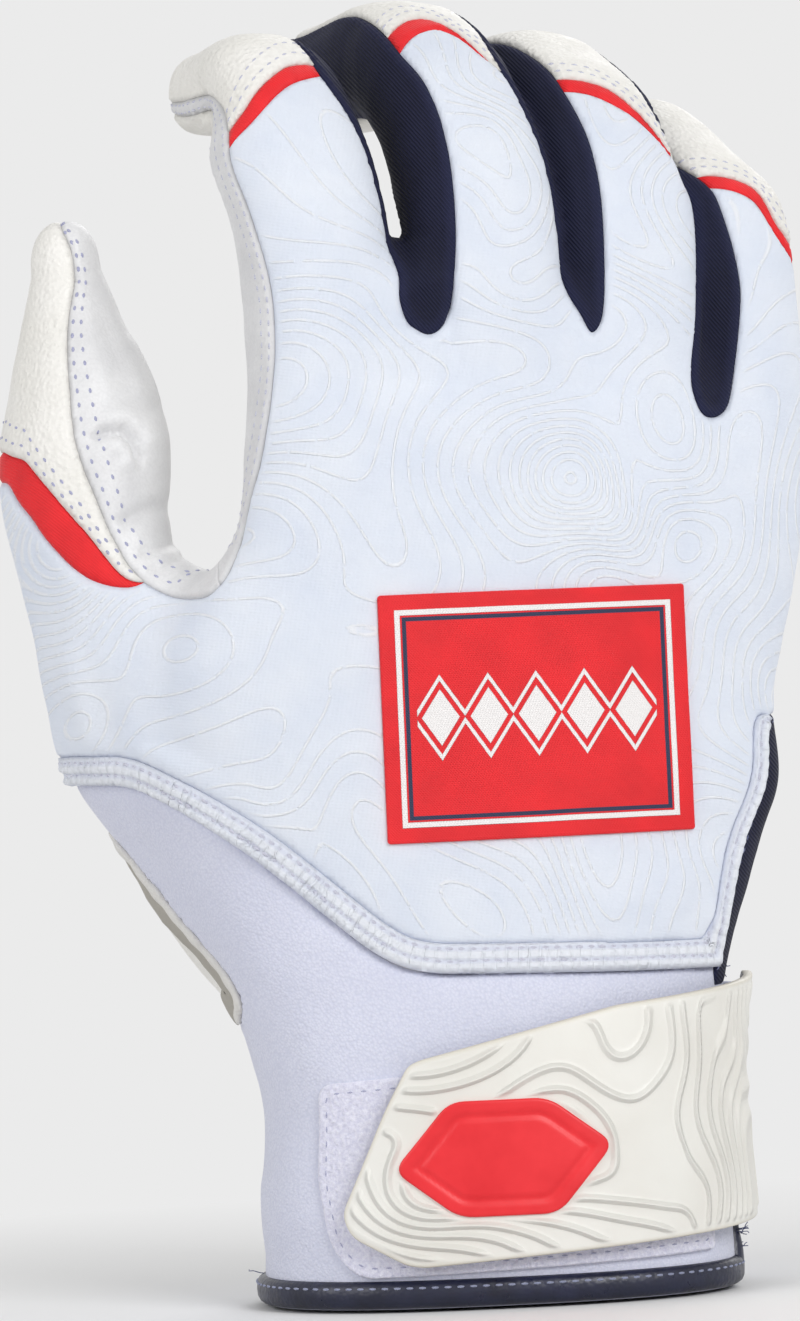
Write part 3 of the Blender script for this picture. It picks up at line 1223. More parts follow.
class Shader:
    """A material being made, with short names for the nodes that it needs."""

    def __init__(self, name, colour, roughness=0.6):
        self.material = bpy.data.materials.new(name)
        self.material.use_nodes = True
        self.nodes, self.links = self.material.node_tree.nodes, self.material.node_tree.links
        self.surface = self.nodes["Principled BSDF"]
        self.surface.inputs["Base Color"].default_value = (*colour, 1)
        self.surface.inputs["Roughness"].default_value = roughness
        self.place = self.node("ShaderNodeTexCoord").outputs["Object"]

    def node(self, kind, **values):
        node = self.nodes.new(kind)
        for key, value in values.items():
            setattr(node, key, value)
        return node

    def link(self, value, socket):
        if hasattr(value, "is_linked"):
            self.links.new(value, socket)
        else:
            socket.default_value = value

    def scaled(self, x, y, z, turn=(0, 0, 0)):
        """The place in the object, times a scale per metre and turned by degrees."""
        node = self.node("ShaderNodeMapping")
        self.links.new(self.place, node.inputs["Vector"])
        node.inputs["Rotation"].default_value = [math.radians(a) for a in turn]
        node.inputs["Scale"].default_value = (x, y, z)
        return node.outputs["Vector"]

    def noise(self, scale, detail=2.0, roughness=0.5, vector=None):
        node = self.node("ShaderNodeTexNoise")
        self.links.new(vector or self.place, node.inputs["Vector"])
        node.inputs["Scale"].default_value = scale
        node.inputs["Detail"].default_value = detail
        node.inputs["Roughness"].default_value = roughness
        return node.outputs["Fac"]

    def cells(self, scale, feature="F1", vector=None, randomness=1.0):
        node = self.node("ShaderNodeTexVoronoi", feature=feature)
        self.links.new(vector or self.place, node.inputs["Vector"])
        node.inputs["Scale"].default_value = scale
        node.inputs["Randomness"].default_value = randomness
        return node.outputs["Distance"]

    def waves(self, scale, direction="X", vector=None, distortion=0.0):
        node = self.node("ShaderNodeTexWave", bands_direction=direction)
        self.links.new(vector or self.place, node.inputs["Vector"])
        node.inputs["Scale"].default_value = scale
        node.inputs["Distortion"].default_value = distortion
        return node.outputs["Fac"]

    def maths(self, operation, a, b=0.0):
        node = self.node("ShaderNodeMath", operation=operation)
        self.link(a, node.inputs[0])
        self.link(b, node.inputs[1])
        return node.outputs[0]

    def ramp(self, value, low, high, start=0.0, end=1.0):
        node = self.node("ShaderNodeMapRange")
        self.link(value, node.inputs["Value"])
        for key, number in zip(("From Min", "From Max", "To Min", "To Max"), (low, high, start, end)):
            node.inputs[key].default_value = number
        return node.outputs["Result"]

    def mix(self, share, a, b):
        node = self.node("ShaderNodeMix", data_type="RGBA")
        self.link(share, node.inputs["Factor"])
        for value, socket in ((a, node.inputs["A"]), (b, node.inputs["B"])):
            self.link(value if hasattr(value, "is_linked") else (*value, 1), socket)
        return node.outputs["Result"]

    def attribute(self, name):
        node = self.node("ShaderNodeAttribute", attribute_name=name)
        return node.outputs["Fac"]

    def tint(self, value):
        self.links.new(value, self.surface.inputs["Base Color"])

    def rough(self, value):
        self.links.new(value, self.surface.inputs["Roughness"])

    def bump(self, height, depth):
        """Raises the surface by a height times that depth in millimetres."""
        node = self.node("ShaderNodeBump")
        node.inputs["Strength"].default_value = 1
        node.inputs["Distance"].default_value = depth * MM
        self.link(height, node.inputs["Height"])
        before = self.surface.inputs["Normal"]
        if before.is_linked:
            self.links.new(before.links[0].from_socket, node.inputs["Normal"])
        self.links.new(node.outputs["Normal"], before)

    def contour_line(self, start, end):
        """1 on the contour lines of the mesh's own levels, fading between two distances in millimetres."""
        level = self.maths("SUBTRACT", self.maths("FRACT", self.attribute("level")), 0.5)
        steep = self.maths("MAXIMUM", self.attribute("steep"), 0.1)
        return self.ramp(self.maths("DIVIDE", self.maths("ABSOLUTE", level), steep), start, end, 1.0, 0.0)

    def distance(self, value, place):
        return self.maths("ABSOLUTE", self.maths("SUBTRACT", value, place))

    def row(self, place):
        """1 along a row that lies at one distance across the mesh."""
        return self.ramp(self.distance(self.attribute("across"), place), 0.15, 0.6, 1.0, 0.0)

    def mottled(self, scale, dark, light, low=0.3, high=0.7, detail=3):
        """A colour that wanders between two."""
        return self.mix(self.ramp(self.noise(scale, detail), low, high), dark, light)

    def mottled_gloss(self, scale, low, high, detail=3):
        self.rough(self.ramp(self.noise(scale, detail), 0.3, 0.7, low, high))

    def seam_shade(self, colour, dark):
        """Darkens the colour within a seam's groove."""
        near = self.ramp(self.attribute("seam"), 0.0, 0.9, 1.0, 0.0)
        return self.mix(self.maths("MULTIPLY", near, 0.5), colour, dark)

    def sheen(self, weight, roughness=0.4):
        self.surface.inputs["Sheen Weight"].default_value = weight
        self.surface.inputs["Sheen Roughness"].default_value = roughness


def back_cloth(name, printed):
    s = Shader(name, srgb(228, 234, 244), 0.72)
    blotch = s.noise(90, 3)
    ribs = s.waves(1500, "X", s.scaled(1, 0.25, 0.04))
    weave = s.waves(1300, "Z", s.scaled(0.2, 0.2, 1))
    fine = s.noise(2600, 2)
    low, high = ((223, 230, 243), (233, 238, 247)) if printed else ((232, 236, 244), (240, 243, 249))
    tone = s.mix(s.ramp(blotch, 0.3, 0.7), srgb(*low), srgb(*high))
    tone = s.mix(s.ramp(ribs, 0.1, 0.9, 0.0, 0.12), tone, srgb(206, 214, 232))
    tone = s.seam_shade(tone, srgb(204, 210, 228))
    s.bump(ribs, 0.05)
    s.bump(weave, 0.025)
    s.bump(fine, 0.05)
    s.bump(blotch, 0.12)
    if printed:
        line = s.maths("MULTIPLY", s.contour_line(0.1, 0.32), s.attribute("shown"))
        line = s.maths("MULTIPLY", line, s.ramp(s.noise(700, 3), 0.3, 0.45))
        tone = s.mix(s.maths("MULTIPLY", line, 0.6), tone, srgb(243, 244, 246))
        s.rough(s.ramp(line, 0, 1, 0.72, 0.35))
        s.bump(line, 0.13)
    else:
        groove = s.maths("MAXIMUM", s.row(1.95), s.row(4.0))
        puff = s.maths("ABSOLUTE", s.maths("COSINE", s.maths("MULTIPLY", s.attribute("along"), math.pi / 2)))
        tone = s.mix(s.maths("MULTIPLY", groove, 0.3), tone, srgb(184, 190, 222))
        s.bump(groove, -0.16)
        s.bump(s.maths("MULTIPLY", s.ramp(s.attribute("seam"), 0.0, 0.8), puff), 0.22)
    s.tint(tone)
    s.sheen(0.15)
    return s.material


LABEL_SIZE = (51, 41)
LABEL_CORNER = (-15.5, 76.4)


def woven_label():
    """Red twill with a plain border and a row of lozenges, drawn from its own two places."""
    s = Shader("woven_label", srgb(228, 28, 40), 0.6)
    twill = s.waves(1250, "DIAGONAL", s.scaled(1, 0.3, 1))
    rows = s.waves(900, "Z", s.scaled(0.2, 0.2, 1))
    u, w = s.attribute("u"), s.attribute("w")
    tone = s.mottled(140, srgb(220, 16, 28), srgb(239, 22, 33))
    tone = s.mix(s.ramp(twill, 0.1, 0.9, 0.0, 0.3), tone, srgb(190, 12, 26))
    half_width, half_height = LABEL_SIZE[0] / 2, LABEL_SIZE[1] / 2
    across, up = s.distance(u, half_width), s.distance(w, half_height)
    edge = s.maths("MINIMUM", s.maths("SUBTRACT", half_width, across), s.maths("SUBTRACT", half_height, up))
    white = s.ramp(s.distance(edge, 3.0), 0.4, 0.5, 1.0, 0.0)
    navy = s.ramp(s.distance(edge, 4.1), 0.3, 0.4, 1.0, 0.0)
    cell = s.distance(s.maths("MODULO", s.maths("ADD", u, -5.5), 8.0), 4.0)
    shape = s.maths("ADD", s.maths("MULTIPLY", cell, 1.5), up)
    solid = s.ramp(shape, 4.6, 4.75, 1.0, 0.0)
    ring = s.ramp(s.distance(shape, 6.6), 0.45, 0.6, 1.0, 0.0)
    inner = s.ramp(across, 19.8, 19.9, 1.0, 0.0)
    lozenges = s.maths("MULTIPLY", s.maths("MAXIMUM", solid, ring), inner)
    thread = s.maths("MAXIMUM", lozenges, white)
    tone = s.mix(navy, tone, srgb(30, 40, 72))
    s.tint(s.mix(thread, tone, srgb(236, 233, 232)))
    s.bump(twill, 0.05)
    s.bump(rows, 0.03)
    s.bump(thread, 0.12)
    s.bump(s.noise(60, 2), 0.2)
    s.sheen(0.1)
    return s.material


def neoprene():
    s = Shader("neoprene", srgb(220, 220, 238), 0.85)
    grains = s.cells(2100)
    tone = s.mottled(60, srgb(212, 214, 230), srgb(219, 221, 236), detail=2)
    tone = s.mix(s.ramp(grains, 0.15, 0.75, 0.0, 0.5), tone, srgb(192, 196, 217))
    s.tint(s.seam_shade(tone, srgb(180, 182, 208)))
    s.bump(grains, -0.1)
    s.bump(s.noise(1400, 2), 0.06)
    s.bump(s.noise(90, 3), 0.25)
    s.sheen(0.3, 0.5)
    return s.material


def leather(name, light, dark, pebble, pebble_depth, roughness, crease):
    light, dark = srgb(*light), srgb(*dark)
    s = Shader(name, light, roughness)
    grain = s.cells(pebble, "SMOOTH_F1")
    folds = s.noise(160, 3, 0.55, s.scaled(1, 1, 0.35))
    tone = s.mottled(70, dark, light, 0.35, 0.7, 4)
    tone = s.mix(s.ramp(grain, 0.25, 0.75, 0.0, 0.25), tone, tuple(c * 0.86 for c in dark))
    s.tint(s.seam_shade(tone, tuple(c * 0.72 for c in dark)))
    s.mottled_gloss(300, roughness - 0.07, roughness + 0.1)
    s.bump(grain, -pebble_depth)
    s.bump(s.noise(pebble * 1.7, 3), pebble_depth * 0.3)
    s.bump(folds, crease)
    return s.material


def red_cloth():
    s = Shader("red_cloth", srgb(228, 28, 40), 0.62)
    twill = s.waves(1100, "DIAGONAL", s.scaled(1, 0.3, 1))
    tone = s.mottled(180, srgb(219, 14, 26), srgb(238, 22, 32))
    s.tint(s.mix(s.ramp(twill, 0.1, 0.9, 0.0, 0.22), tone, srgb(200, 10, 20)))
    s.bump(twill, 0.05)
    s.bump(s.noise(2400, 2), 0.04)
    s.sheen(0.06)
    return s.material


def navy_twill():
    s = Shader("navy_twill", srgb(18, 20, 40), 0.8)
    twill = s.waves(620, "X", s.scaled(1, 1, 1, (0, 38, 0)), 0.6)
    tone = s.mottled(120, srgb(14, 15, 33), srgb(22, 24, 46))
    tone = s.mix(s.ramp(s.attribute("seam"), 0.3, 2.2, 0.35, 0.0), tone, srgb(44, 48, 84))
    s.tint(s.mix(s.ramp(twill, 0.2, 1.0, 0.0, 0.4), tone, srgb(40, 43, 76)))
    s.bump(twill, 0.12)
    s.bump(s.noise(3000, 2), 0.04)
    s.bump(s.noise(110, 2, 0.5, s.scaled(1, 1, 0.3)), 0.5)
    s.surface.inputs["Specular IOR Level"].default_value = 0.25
    s.sheen(0.06, 0.35)
    return s.material


def navy_leather():
    s = Shader("navy_leather", srgb(20, 23, 44), 0.33)
    s.tint(s.mottled(200, srgb(15, 18, 37), srgb(28, 32, 58)))
    s.mottled_gloss(500, 0.26, 0.42)
    s.bump(s.cells(1300), -0.05)
    s.bump(s.noise(260, 3), 0.15)
    return s.material


def tab_rubber():
    s = Shader("tab_rubber", srgb(240, 238, 231), 0.42)
    tone = s.mottled(60, srgb(224, 222, 215), srgb(230, 229, 223), 0.35, 0.65)
    edge = s.ramp(s.attribute("seam"), 0.0, 0.8, 1.0, 0.0)
    s.tint(s.mix(s.maths("MULTIPLY", edge, 0.75), tone, srgb(208, 201, 184)))
    s.mottled_gloss(250, 0.36, 0.5, 4)
    s.bump(s.noise(1600, 3), 0.02)
    s.bump(s.maths("MULTIPLY", s.contour_line(0.1, 0.75), s.attribute("shown")), 0.4)
    return s.material


def loop_fuzz():
    s = Shader("loop_fuzz", srgb(222, 222, 240), 0.95)
    curls = s.noise(1500, 4, 0.7)
    s.tint(s.mix(s.ramp(curls, 0.35, 0.65), srgb(208, 208, 230), srgb(236, 236, 250)))
    s.bump(curls, 0.35)
    s.bump(s.cells(900), 0.2)
    s.sheen(0.6, 0.6)
    return s.material


def hook_tape():
    s = Shader("hook_tape", srgb(226, 226, 232), 0.5)
    hooks = s.cells(900, vector=s.scaled(1, 1, 1), randomness=0.15)
    s.tint(s.mix(s.ramp(hooks, 0.15, 0.5), srgb(236, 236, 240), srgb(190, 190, 200)))
    s.bump(hooks, -0.5)
    return s.material


def thread(name, colour, dark):
    colour, dark = srgb(*colour), srgb(*dark)
    s = Shader(name, colour, 0.7)
    twist = s.waves(2600, "DIAGONAL")
    s.tint(s.mix(s.ramp(twist, 0.2, 0.8), dark, colour))
    s.bump(twist, 0.04)
    s.sheen(0.3)
    return s.material


def emblem_red():
    s = Shader("emblem_red", srgb(238, 52, 56), 0.4)
    s.tint(s.mottled(150, srgb(222, 26, 36), srgb(234, 40, 48)))
    s.bump(s.noise(1500, 3), 0.02)
    return s.material


MATERIALS = {
    "back_cloth": back_cloth("back_cloth", True),
    "welt": back_cloth("welt_cloth", False),
    "label": woven_label(),
    "neoprene": neoprene(),
    "pebbled": leather("pebbled_leather", (240, 238, 234), (230, 228, 222), 1250, 0.26, 0.5, 0.08),
    "suede": leather("suede", (196, 192, 183), (176, 172, 163), 2600, 0.06, 0.85, 0.15),
    "lip": leather("palm_lip", (243, 242, 238), (230, 228, 224), 1800, 0.1, 0.6, 0.1),
    "palm": leather("palm_leather", (241, 239, 234), (233, 231, 225), 1500, 0.12, 0.5, 0.2),
    "smooth": leather("smooth_leather", (229, 229, 230), (210, 210, 212), 2200, 0.05, 0.45, 0.25),
    "red": red_cloth(),
    "navy": navy_twill(),
    "navy_leather": navy_leather(),
    "rubber": tab_rubber(),
    "loop": loop_fuzz(),
    "hook": hook_tape(),
    "emblem": emblem_red(),
    "lavender_thread": thread("lavender_thread", (190, 192, 216), (154, 156, 192)),
    "pale_thread": thread("pale_thread", (222, 222, 232), (180, 182, 204)),
    "hem_thread": thread("hem_thread", (166, 172, 196), (118, 124, 156)),
    "navy_thread": thread("navy_thread", (120, 128, 168), (70, 76, 118)),
}


def finish(obj, material, slot, *nodes, body="glove"):
    obj.data.materials.append(MATERIALS[material])
    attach(obj, body)
    if nodes:
        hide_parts(*nodes)
    return obj


# ---------------------------------------------------------------- surface patterns
def hills(seed, count, low, high, sizes):
    """Random hills whose contour lines make a pattern: centre, two sizes, turn and height of each."""
    rng = np.random.default_rng(seed)
    centres = rng.uniform(np.array(low), np.array(high), (count, 2))
    size = rng.uniform(*sizes, count)
    turn = rng.uniform(0, math.pi, count)
    longer = rng.uniform(1.2, 2.8, count)
    height = rng.uniform(0.6, 2.0, count) * rng.choice([-1, 1, 1], count)
    return list(zip(centres, np.column_stack([size * longer, size]), turn, height * size))


def contours(points, made, slope, spacing):
    """Level and steepness, in contour lines, of a field of hills at flat points."""
    level = points @ np.array(slope)
    steep = np.tile(np.array(slope, float), (len(points), 1))
    for centre, sizes, turn, height in made:
        axes = np.array([[math.cos(turn), math.sin(turn)], [-math.sin(turn), math.cos(turn)]])
        q = (points - centre) @ axes.T / sizes
        hill = height * np.exp(-(q * q).sum(1) / 2)
        level = level + hill
        steep -= (hill[:, None] * q / sizes) @ axes
    return level / spacing, np.linalg.norm(steep, axis=1) / spacing


def line_distance(level, steep):
    """Millimetres from the nearest contour line."""
    return np.abs(level - np.floor(level) - 0.5) / np.maximum(steep, 0.12)


# ---------------------------------------------------------------- panels
PANEL_LOOKS = {
    "gusset": ("navy", "navy_cloth"),
    "ulnar": ("navy", "navy_cloth"),
    "tip": ("pebbled", "pebbled_leather"),
    "accent": ("red", "accent_cloth"),
    "index_side": ("smooth", "smooth_leather"),
    "thumb_front": ("smooth", "smooth_leather"),
    "thumb_back": ("pebbled", "pebbled_leather"),
    "back_panel": ("back_cloth", "back_cloth"),
    "welt": ("welt", "back_cloth"),
    "cuff": ("neoprene", "neoprene"),
    "palm": ("palm", "pebbled_leather"),
}
WELT_WIDTH = 4.9
SLIT = (0.0, 4.0)
SLIT_TOP = 41.0
# The label of skin that is taken out.
OPENING = 99


def seam_between(first, others):
    """Points along the seam between a panel and others."""
    theirs = np.unique(skin.f[np.isin(skin.label, [PANELS.index(n) for n in others])])
    edges = unique_edges(skin.f[skin.label == PANELS.index(first)])
    edges = edges[np.isin(edges, theirs).all(1)]
    a, b = skin.v[edges[:, 0]], skin.v[edges[:, 1]]
    return np.vstack([a + (b - a) * share for share in (0, 0.25, 0.5, 0.75)])


def distance_to(places, points, reach=30.0):
    find = nearest_to(places)
    return np.array([min(find(p)[2], reach) for p in points])


def cut_welt():
    """Parts the band along the lower and outer edges from the back panel."""
    edge = seam_between("back_panel", ["cuff_panel", "ulnar_panel", "palm_leather"])
    low = (edge[:, 2] < 96) | (edge[:, 0] > 0)
    edge = edge[low & (edge[:, 2] < 92)]
    PANELS.append("edge_welt")
    near = np.unique(skin.f[skin.label == PANELS.index("back_panel")])
    values = np.full(len(skin.v), -9.0)
    places = skin.v[near]
    narrow = smoothstep((places[:, 2] - 57) / 6) * (places[:, 0] > 20)
    values[near] = WELT_WIDTH - 2 * narrow - distance_to(edge, places)
    skin.cut(lambda s: values, PANELS.index("edge_welt"), PANELS.index("back_panel"))
    return edge


def cut_slit():
    """Opens the cuff at the little-finger side."""
    def slit(s):
        return both(s.v[:, 0] - 20, s.v[:, 1] - SLIT[0], SLIT[1] - s.v[:, 1], SLIT_TOP - s.v[:, 2])

    for name in ("cuff_panel", "palm_leather"):
        skin.cut(slit, OPENING, PANELS.index(name))
    skin.drop(OPENING)


# The welt's rolls: distance from its edge, half width and height.
WELT_ROLLS = ((0.85, 1.1, 1.25), (2.95, 1.05, 0.85), (4.9, 1.0, 0.35))


def rolls(d):
    """How far the welt stands out at each distance from its edge, with stitched grooves between its rolls."""
    return either(*(
        np.sqrt(np.clip(1 - ((d - place) / half) ** 2, 0, 1)) * height for place, half, height in WELT_ROLLS
    ))


def places_along(line, points, step=0.25):
    """Millimetres along a line of the place nearest to each point."""
    find = nearest_to(resampled(line, step))
    return np.array([find(p)[1] * step for p in points])


welt_edge = cut_welt()
cut_slit()
settle_labels(skin)
SKIN_NORMALS = even_normals(skin.v, skin.f)
panels = {}
SISTERS = {"index_side_leather": "thumb_front_leather", "thumb_front_leather": "index_side_leather"}
for name in PANELS[1:]:
    panels[name] = Panel(name, SISTERS.get(name))

back_panel = panels["back_panel"]
flat = back_panel.v[:, [0, 2]] + 0.18 * back_panel.v[:, [1, 1]]
level, steep = contours(flat, hills(23, 90, (-80, 50), (60, 215), (2.6, 9)), (0.1, 0.13), 2.5)
shown = smoothstep((back_panel.edge - 1.0) / 1.2)

LIFTS = {"index_side": 0.15, "thumb_front": 0.15, "thumb_back": 0.3, "tip": 0.3,
         "cuff": -0.1, "ulnar": -0.35, "palm": -0.1}
for name, panel in panels.items():
    lift, roll = next((lift for word, lift in LIFTS.items() if word in name), 0.0), 0.45
    if "gusset" in name:
        lift = 0.35 * np.exp(-(((panel.edge - 1.1) / 0.8) ** 2)) - 0.1
    elif name == "edge_welt":
        panel.across = distance_to(welt_edge, panel.v)
        lift, roll = rolls(panel.across), 0.3
    elif name == "cuff_panel":
        lift = lift - 0.3 * np.exp(-((distance_to(welt_edge, panel.v) / 2.0) ** 2))
    panel.solid(lift, 1.1, roll, 1.3 if "gusset" in name else 1.0)
    material, slot = next(look for word, look in PANEL_LOOKS.items() if word in name)
    finish(panel.obj, material, slot, name)
add_values(back_panel.obj, level=level, steep=steep, shown=shown)


# ---------------------------------------------------------------- stitches of the panels
def rows(kind, name, values, levels, pitch=2.1, length=1.3, width=0.42, sink=0.06, keep=None):
    """Rows of stitches on a panel, at millimetres inside a seam."""
    panel = panels[name]
    for level in levels:
        stitch(kind, isolines(panel.outer, panel.n, panel.f, values, level), pitch, length, width, sink, keep)


def past_band(name, piece):
    """Millimetres along a digit past its band of colour, without the digit's own limits."""
    tube = skin.tubes[name][panels[piece].ids]
    place = curve(ACCENTS[name][1], 2)(tube[:, 2])
    return np.where(tube[:, 0] < 5, (tube[:, 1] - place) * DIGITS[name]["length"], -50)


def past_edge(name, piece, points, sign=1):
    """Millimetres past a digit's seam, at a panel's points."""
    tube = skin.tubes[name][panels[piece].ids]
    return np.where(tube[:, 0] < 6, sign * past_seam(tube, points), -50)


welt = panels["edge_welt"]
rows("pale_thread", "edge_welt", welt.across, (1.95, 4.0), 2.0, 1.45, 0.72, 0.12)
welt_line = max(isolines(welt.outer, welt.n, welt.f, welt.across, 1.95), key=lambda line: len(line[0]))[0]
add_values(welt.obj, across=welt.across, along=places_along(welt_line, welt.v))
for finger in FOUR_FINGERS:
    rows("pale_thread", f"{finger}_tip", past_band(finger, f"{finger}_tip"), (1.6, 3.8), 1.9, 1.35, 0.55)
band = past_band("thumb", "thumb_back_leather")
rows("lavender_thread", "thumb_back_leather", band, (2.2, 4.8), 2.5, 1.15, 0.6, 0.04)
ridge = past_edge("thumb", "thumb_front_leather", THUMB_RIDGE)
rows("lavender_thread", "thumb_front_leather", ridge, (1.6, 3.8), 2.5, 1.15, 0.62, 0.05)
index_edge = past_edge("index", "index_side_leather", INDEX_SEAM, -1)
rows("pale_thread", "index_side_leather", index_edge, (1.0, 2.9), 1.9, 1.3, 0.55)
ulnar_edge = distance_to(seam_between("ulnar_panel", ["edge_welt", "back_panel"]), panels["ulnar_panel"].v)
rows("navy_thread", "ulnar_panel", ulnar_edge, (1.4,), 2.2)
palm = panels["palm_leather"]
rows("pale_thread", "palm_leather", palm.edge, (1.5,), 2.1, 1.3, 0.42, 0.06, keep=lambda p: p[2] > 20)


# ---------------------------------------------------------------- strips swept along a path
def sweep(name, path, normals, across, thick, squareness=2.6, points=16):
    """A closed tube of flattened section along a path, and its rings of points."""
    tangent = unit(np.gradient(path, axis=0))
    side = unit(np.cross(tangent, normals))
    normal = np.cross(side, tangent)
    turn = np.linspace(0, 2 * math.pi, points, endpoint=False)
    rings = path[:, None]
    for direction, size, wave in ((side, across, np.cos(turn)), (normal, thick, np.sin(turn))):
        reach = np.sign(wave) * np.abs(wave) ** (2 / squareness)
        half = np.broadcast_to(size, len(path)) / 2
        rings = rings + direction[:, None] * (half[:, None] * reach)[:, :, None]
    count = len(path)
    rows = np.arange(count - 1)[:, None] * points
    i = np.arange(points)
    j = (i + 1) % points
    faces = np.stack([rows + i, rows + j, rows + points + j, rows + points + i], -1).reshape(-1, 4).tolist()
    faces.append(list(range(points - 1, -1, -1)))
    faces.append([(count - 1) * points + k for k in range(points)])
    return mesh_object(name, rings.reshape(-1, 3), faces), rings


def rounded_ends(path, reach):
    """The share of its width that a strip along a path has, so that it closes roundly at both ends."""
    along = lengths_along(path)
    gap = np.minimum(along, along[-1] - along)
    return np.sqrt(np.clip(1 - np.clip(1 - gap / reach, 0, 1) ** 2, 0.02, 1))


# ---------------------------------------------------------------- hem and slit binding
def hem_path():
    """The bound edge from the top of the slit, round the hem and back up the slit."""
    angles = np.linspace(-180, 180, 1441)
    hem = hand_point(angles, np.full(len(angles), 2.5), -0.75)
    right = (angles > 40) & (angles < 140)
    near, far = (np.interp(y, hem[right][:, 1], angles[right]) for y in (SLIT[0] - 1.2, SLIT[1] + 1.2))
    path, normals = [], []

    def add(angle, z):
        low, high = hand_point(angle, z, -0.6), hand_point(angle, z, 2)
        path.append(low)
        normals.append((high - low) / np.linalg.norm(high - low))

    for z in np.arange(SLIT_TOP, 6, -1.0):
        add(near, z)
    corner = [(4 * (1 - math.cos(t)), 6 - 3.6 * math.sin(t)) for t in math.pi / 2 * np.arange(1, 8) / 8]
    for turn, z in corner:
        add(near - turn, z)
    for angle in np.arange(near - 4, far - 360 + 4, -1.5):
        add((angle + 180) % 360 - 180, 2.4)
    for turn, z in reversed(corner):
        add(far + turn, z)
    for z in np.arange(6, SLIT_TOP + 0.5, 1.0):
        add(far, z)
    return np.array(path), np.array(normals)


path, normals = hem_path()
thin = smoothstep((np.maximum(path[:, 2], 3) - 5) / 5)
hem, _ = sweep("hem_strip", path, normals, 4.7 - 1.6 * thin, 3.9 - 0.9 * thin)
finish(hem, "navy_leather", "navy_leather", "hem_binding")
hem_row = path + normals * 1.93 + np.column_stack([0 * thin, 0 * thin, 1.15 * (1 - thin)])
stitch("hem_thread", [(hem_row[40:-40], normals[40:-40])], 2.1, 1.3, 0.45, 0.02)

# ---------------------------------------------------------------- label
left, low = LABEL_CORNER
right, high = left + LABEL_SIZE[0], low + LABEL_SIZE[1]
label_outline = rounded_outline([(left, high), (left, low), (right, low), (right, high)], 0.6)
label = Patch("label_woven", label_outline, over_skin, -0.3, 0.75, 0.8, 0.35)
finish(label.obj, "label", "accent_cloth", "label_patch")
add_values(label.obj, u=label.flat[:, 0] - left, w=label.flat[:, 1] - low)

# ---------------------------------------------------------------- wrist strap
TAB_RIGHT, TAB_LOW = 42.0, 7.0


def tab_point(u, v):
    return TAB_RIGHT - 68 * u, TAB_LOW + 45 * v


RIGHT_SIDE, PALM_SIDE = slice(360, 540), slice(720, 539, -1)
HINGE_PLACE, ANCHOR_START = np.interp((7.6, 8.6), ROUND_POINTS[RIGHT_SIDE, 1], ROUND_PLACES[RIGHT_SIDE])
LOOP = [(38, 32.4), (-14.6, 38.3), (-30.7, 37.2), (-31.3, 21.4), (-29.6, 10.4), (-25, 5.1), (38, 6.9)]
loop_flat = rounded_outline(on_wrist(LOOP), [1, 2, 3, 2, 5, 5, 1])
loop = Patch("loop_tape", loop_flat, wrist, -0.2, 1.05, 0.8, 0.5)
finish(loop.obj, "loop", "fastening", "loop_patch")
stitch_inside("lavender_thread", loop, 1.7, 2.4, 1.3, 0.4, 0.05)

# The tab's outline, as shares of its width from the right and of its height from below.
TAB = [(0.3, 0.92), (0.8, 0.755), (0.83, 0.735), (0.89, 0.573), (1, 0.2), (0.98, 0.118), (0.85, 0.01),
       (0.81, 0)]
tab_flat = on_wrist([tab_point(u, v) for u, v in TAB])
hinge_side = [(HINGE_PLACE, 11.5), (HINGE_PLACE, 52.0)]
tab_outline = rounded_outline([*hinge_side, *tab_flat], [1, 1, 1, 5, 5, 3, 3, 3, 3, 3])
tab_hills = hills(5, 26, (-26, 5), (56, 55), (3, 8))
tab_lines = {}


def tab_relief(flat, gap):
    level, steep = contours(flat, tab_hills, (0.28, 0.2), 3.1)
    right = np.clip((flat[:, 0] - 26) / 16, 0, 1) ** 1.6
    level, steep = level + right * 3.4, steep + right * 0.35
    ridge = np.exp(-((line_distance(level, steep) / 0.5) ** 2)) * 0.42
    to_emblem = rim_distance(flat, lozenge)
    emblem_room = smoothstep((np.abs(to_emblem) - 0.2) / 1.2) * (to_emblem < 0)
    room = smoothstep((gap - 0.7) / 1.1) * emblem_room
    tab_lines.update(level=level, steep=steep, shown=room)
    return ridge * room


LOZENGE = [(18.5, 1.5), (8, 9.5), (-9, 9.5), (-18.5, -1.5), (-8, -9.5), (9, -9.5)]
x, z = tab_point(0.6, 0.39)
lozenge = rounded_outline(on_wrist([(x + dx, z + dz) for dx, dz in LOZENGE]), 2.5)
tab = Patch("tab_shell", tab_outline, wrist, 2.6, 4.3, 0.45, 0.5, tab_relief)
finish(tab.obj, "rubber", "tab_rubber", "strap_tab", body="strap")
add_values(tab.obj, **tab_lines)

HOOK_INSET = 3.5
middle = np.array(on_wrist([tab_point(0.5, 0.5)])[0])
hook_outline = [p + (middle - p) / np.linalg.norm(middle - p) * HOOK_INSET for p in np.array(tab_flat)]
hook = Patch("hook_tape", rounded_outline(hook_outline, 2), wrist, 1.45, 2.5, 1.0, 0.3)
finish(hook.obj, "hook", "fastening", "hook_patch", body="strap")


def emblem_relief(flat, gap):
    return -0.4 * np.exp(-(((gap - 2.6) / 0.5) ** 2)) - 0.05 * (gap > 2.6)


emblem = Patch("emblem_plate", lozenge, wrist, 4.0, 4.85, 0.5, 0.35, emblem_relief)
finish(emblem.obj, "emblem", "emblem", "tab_emblem", body="strap")

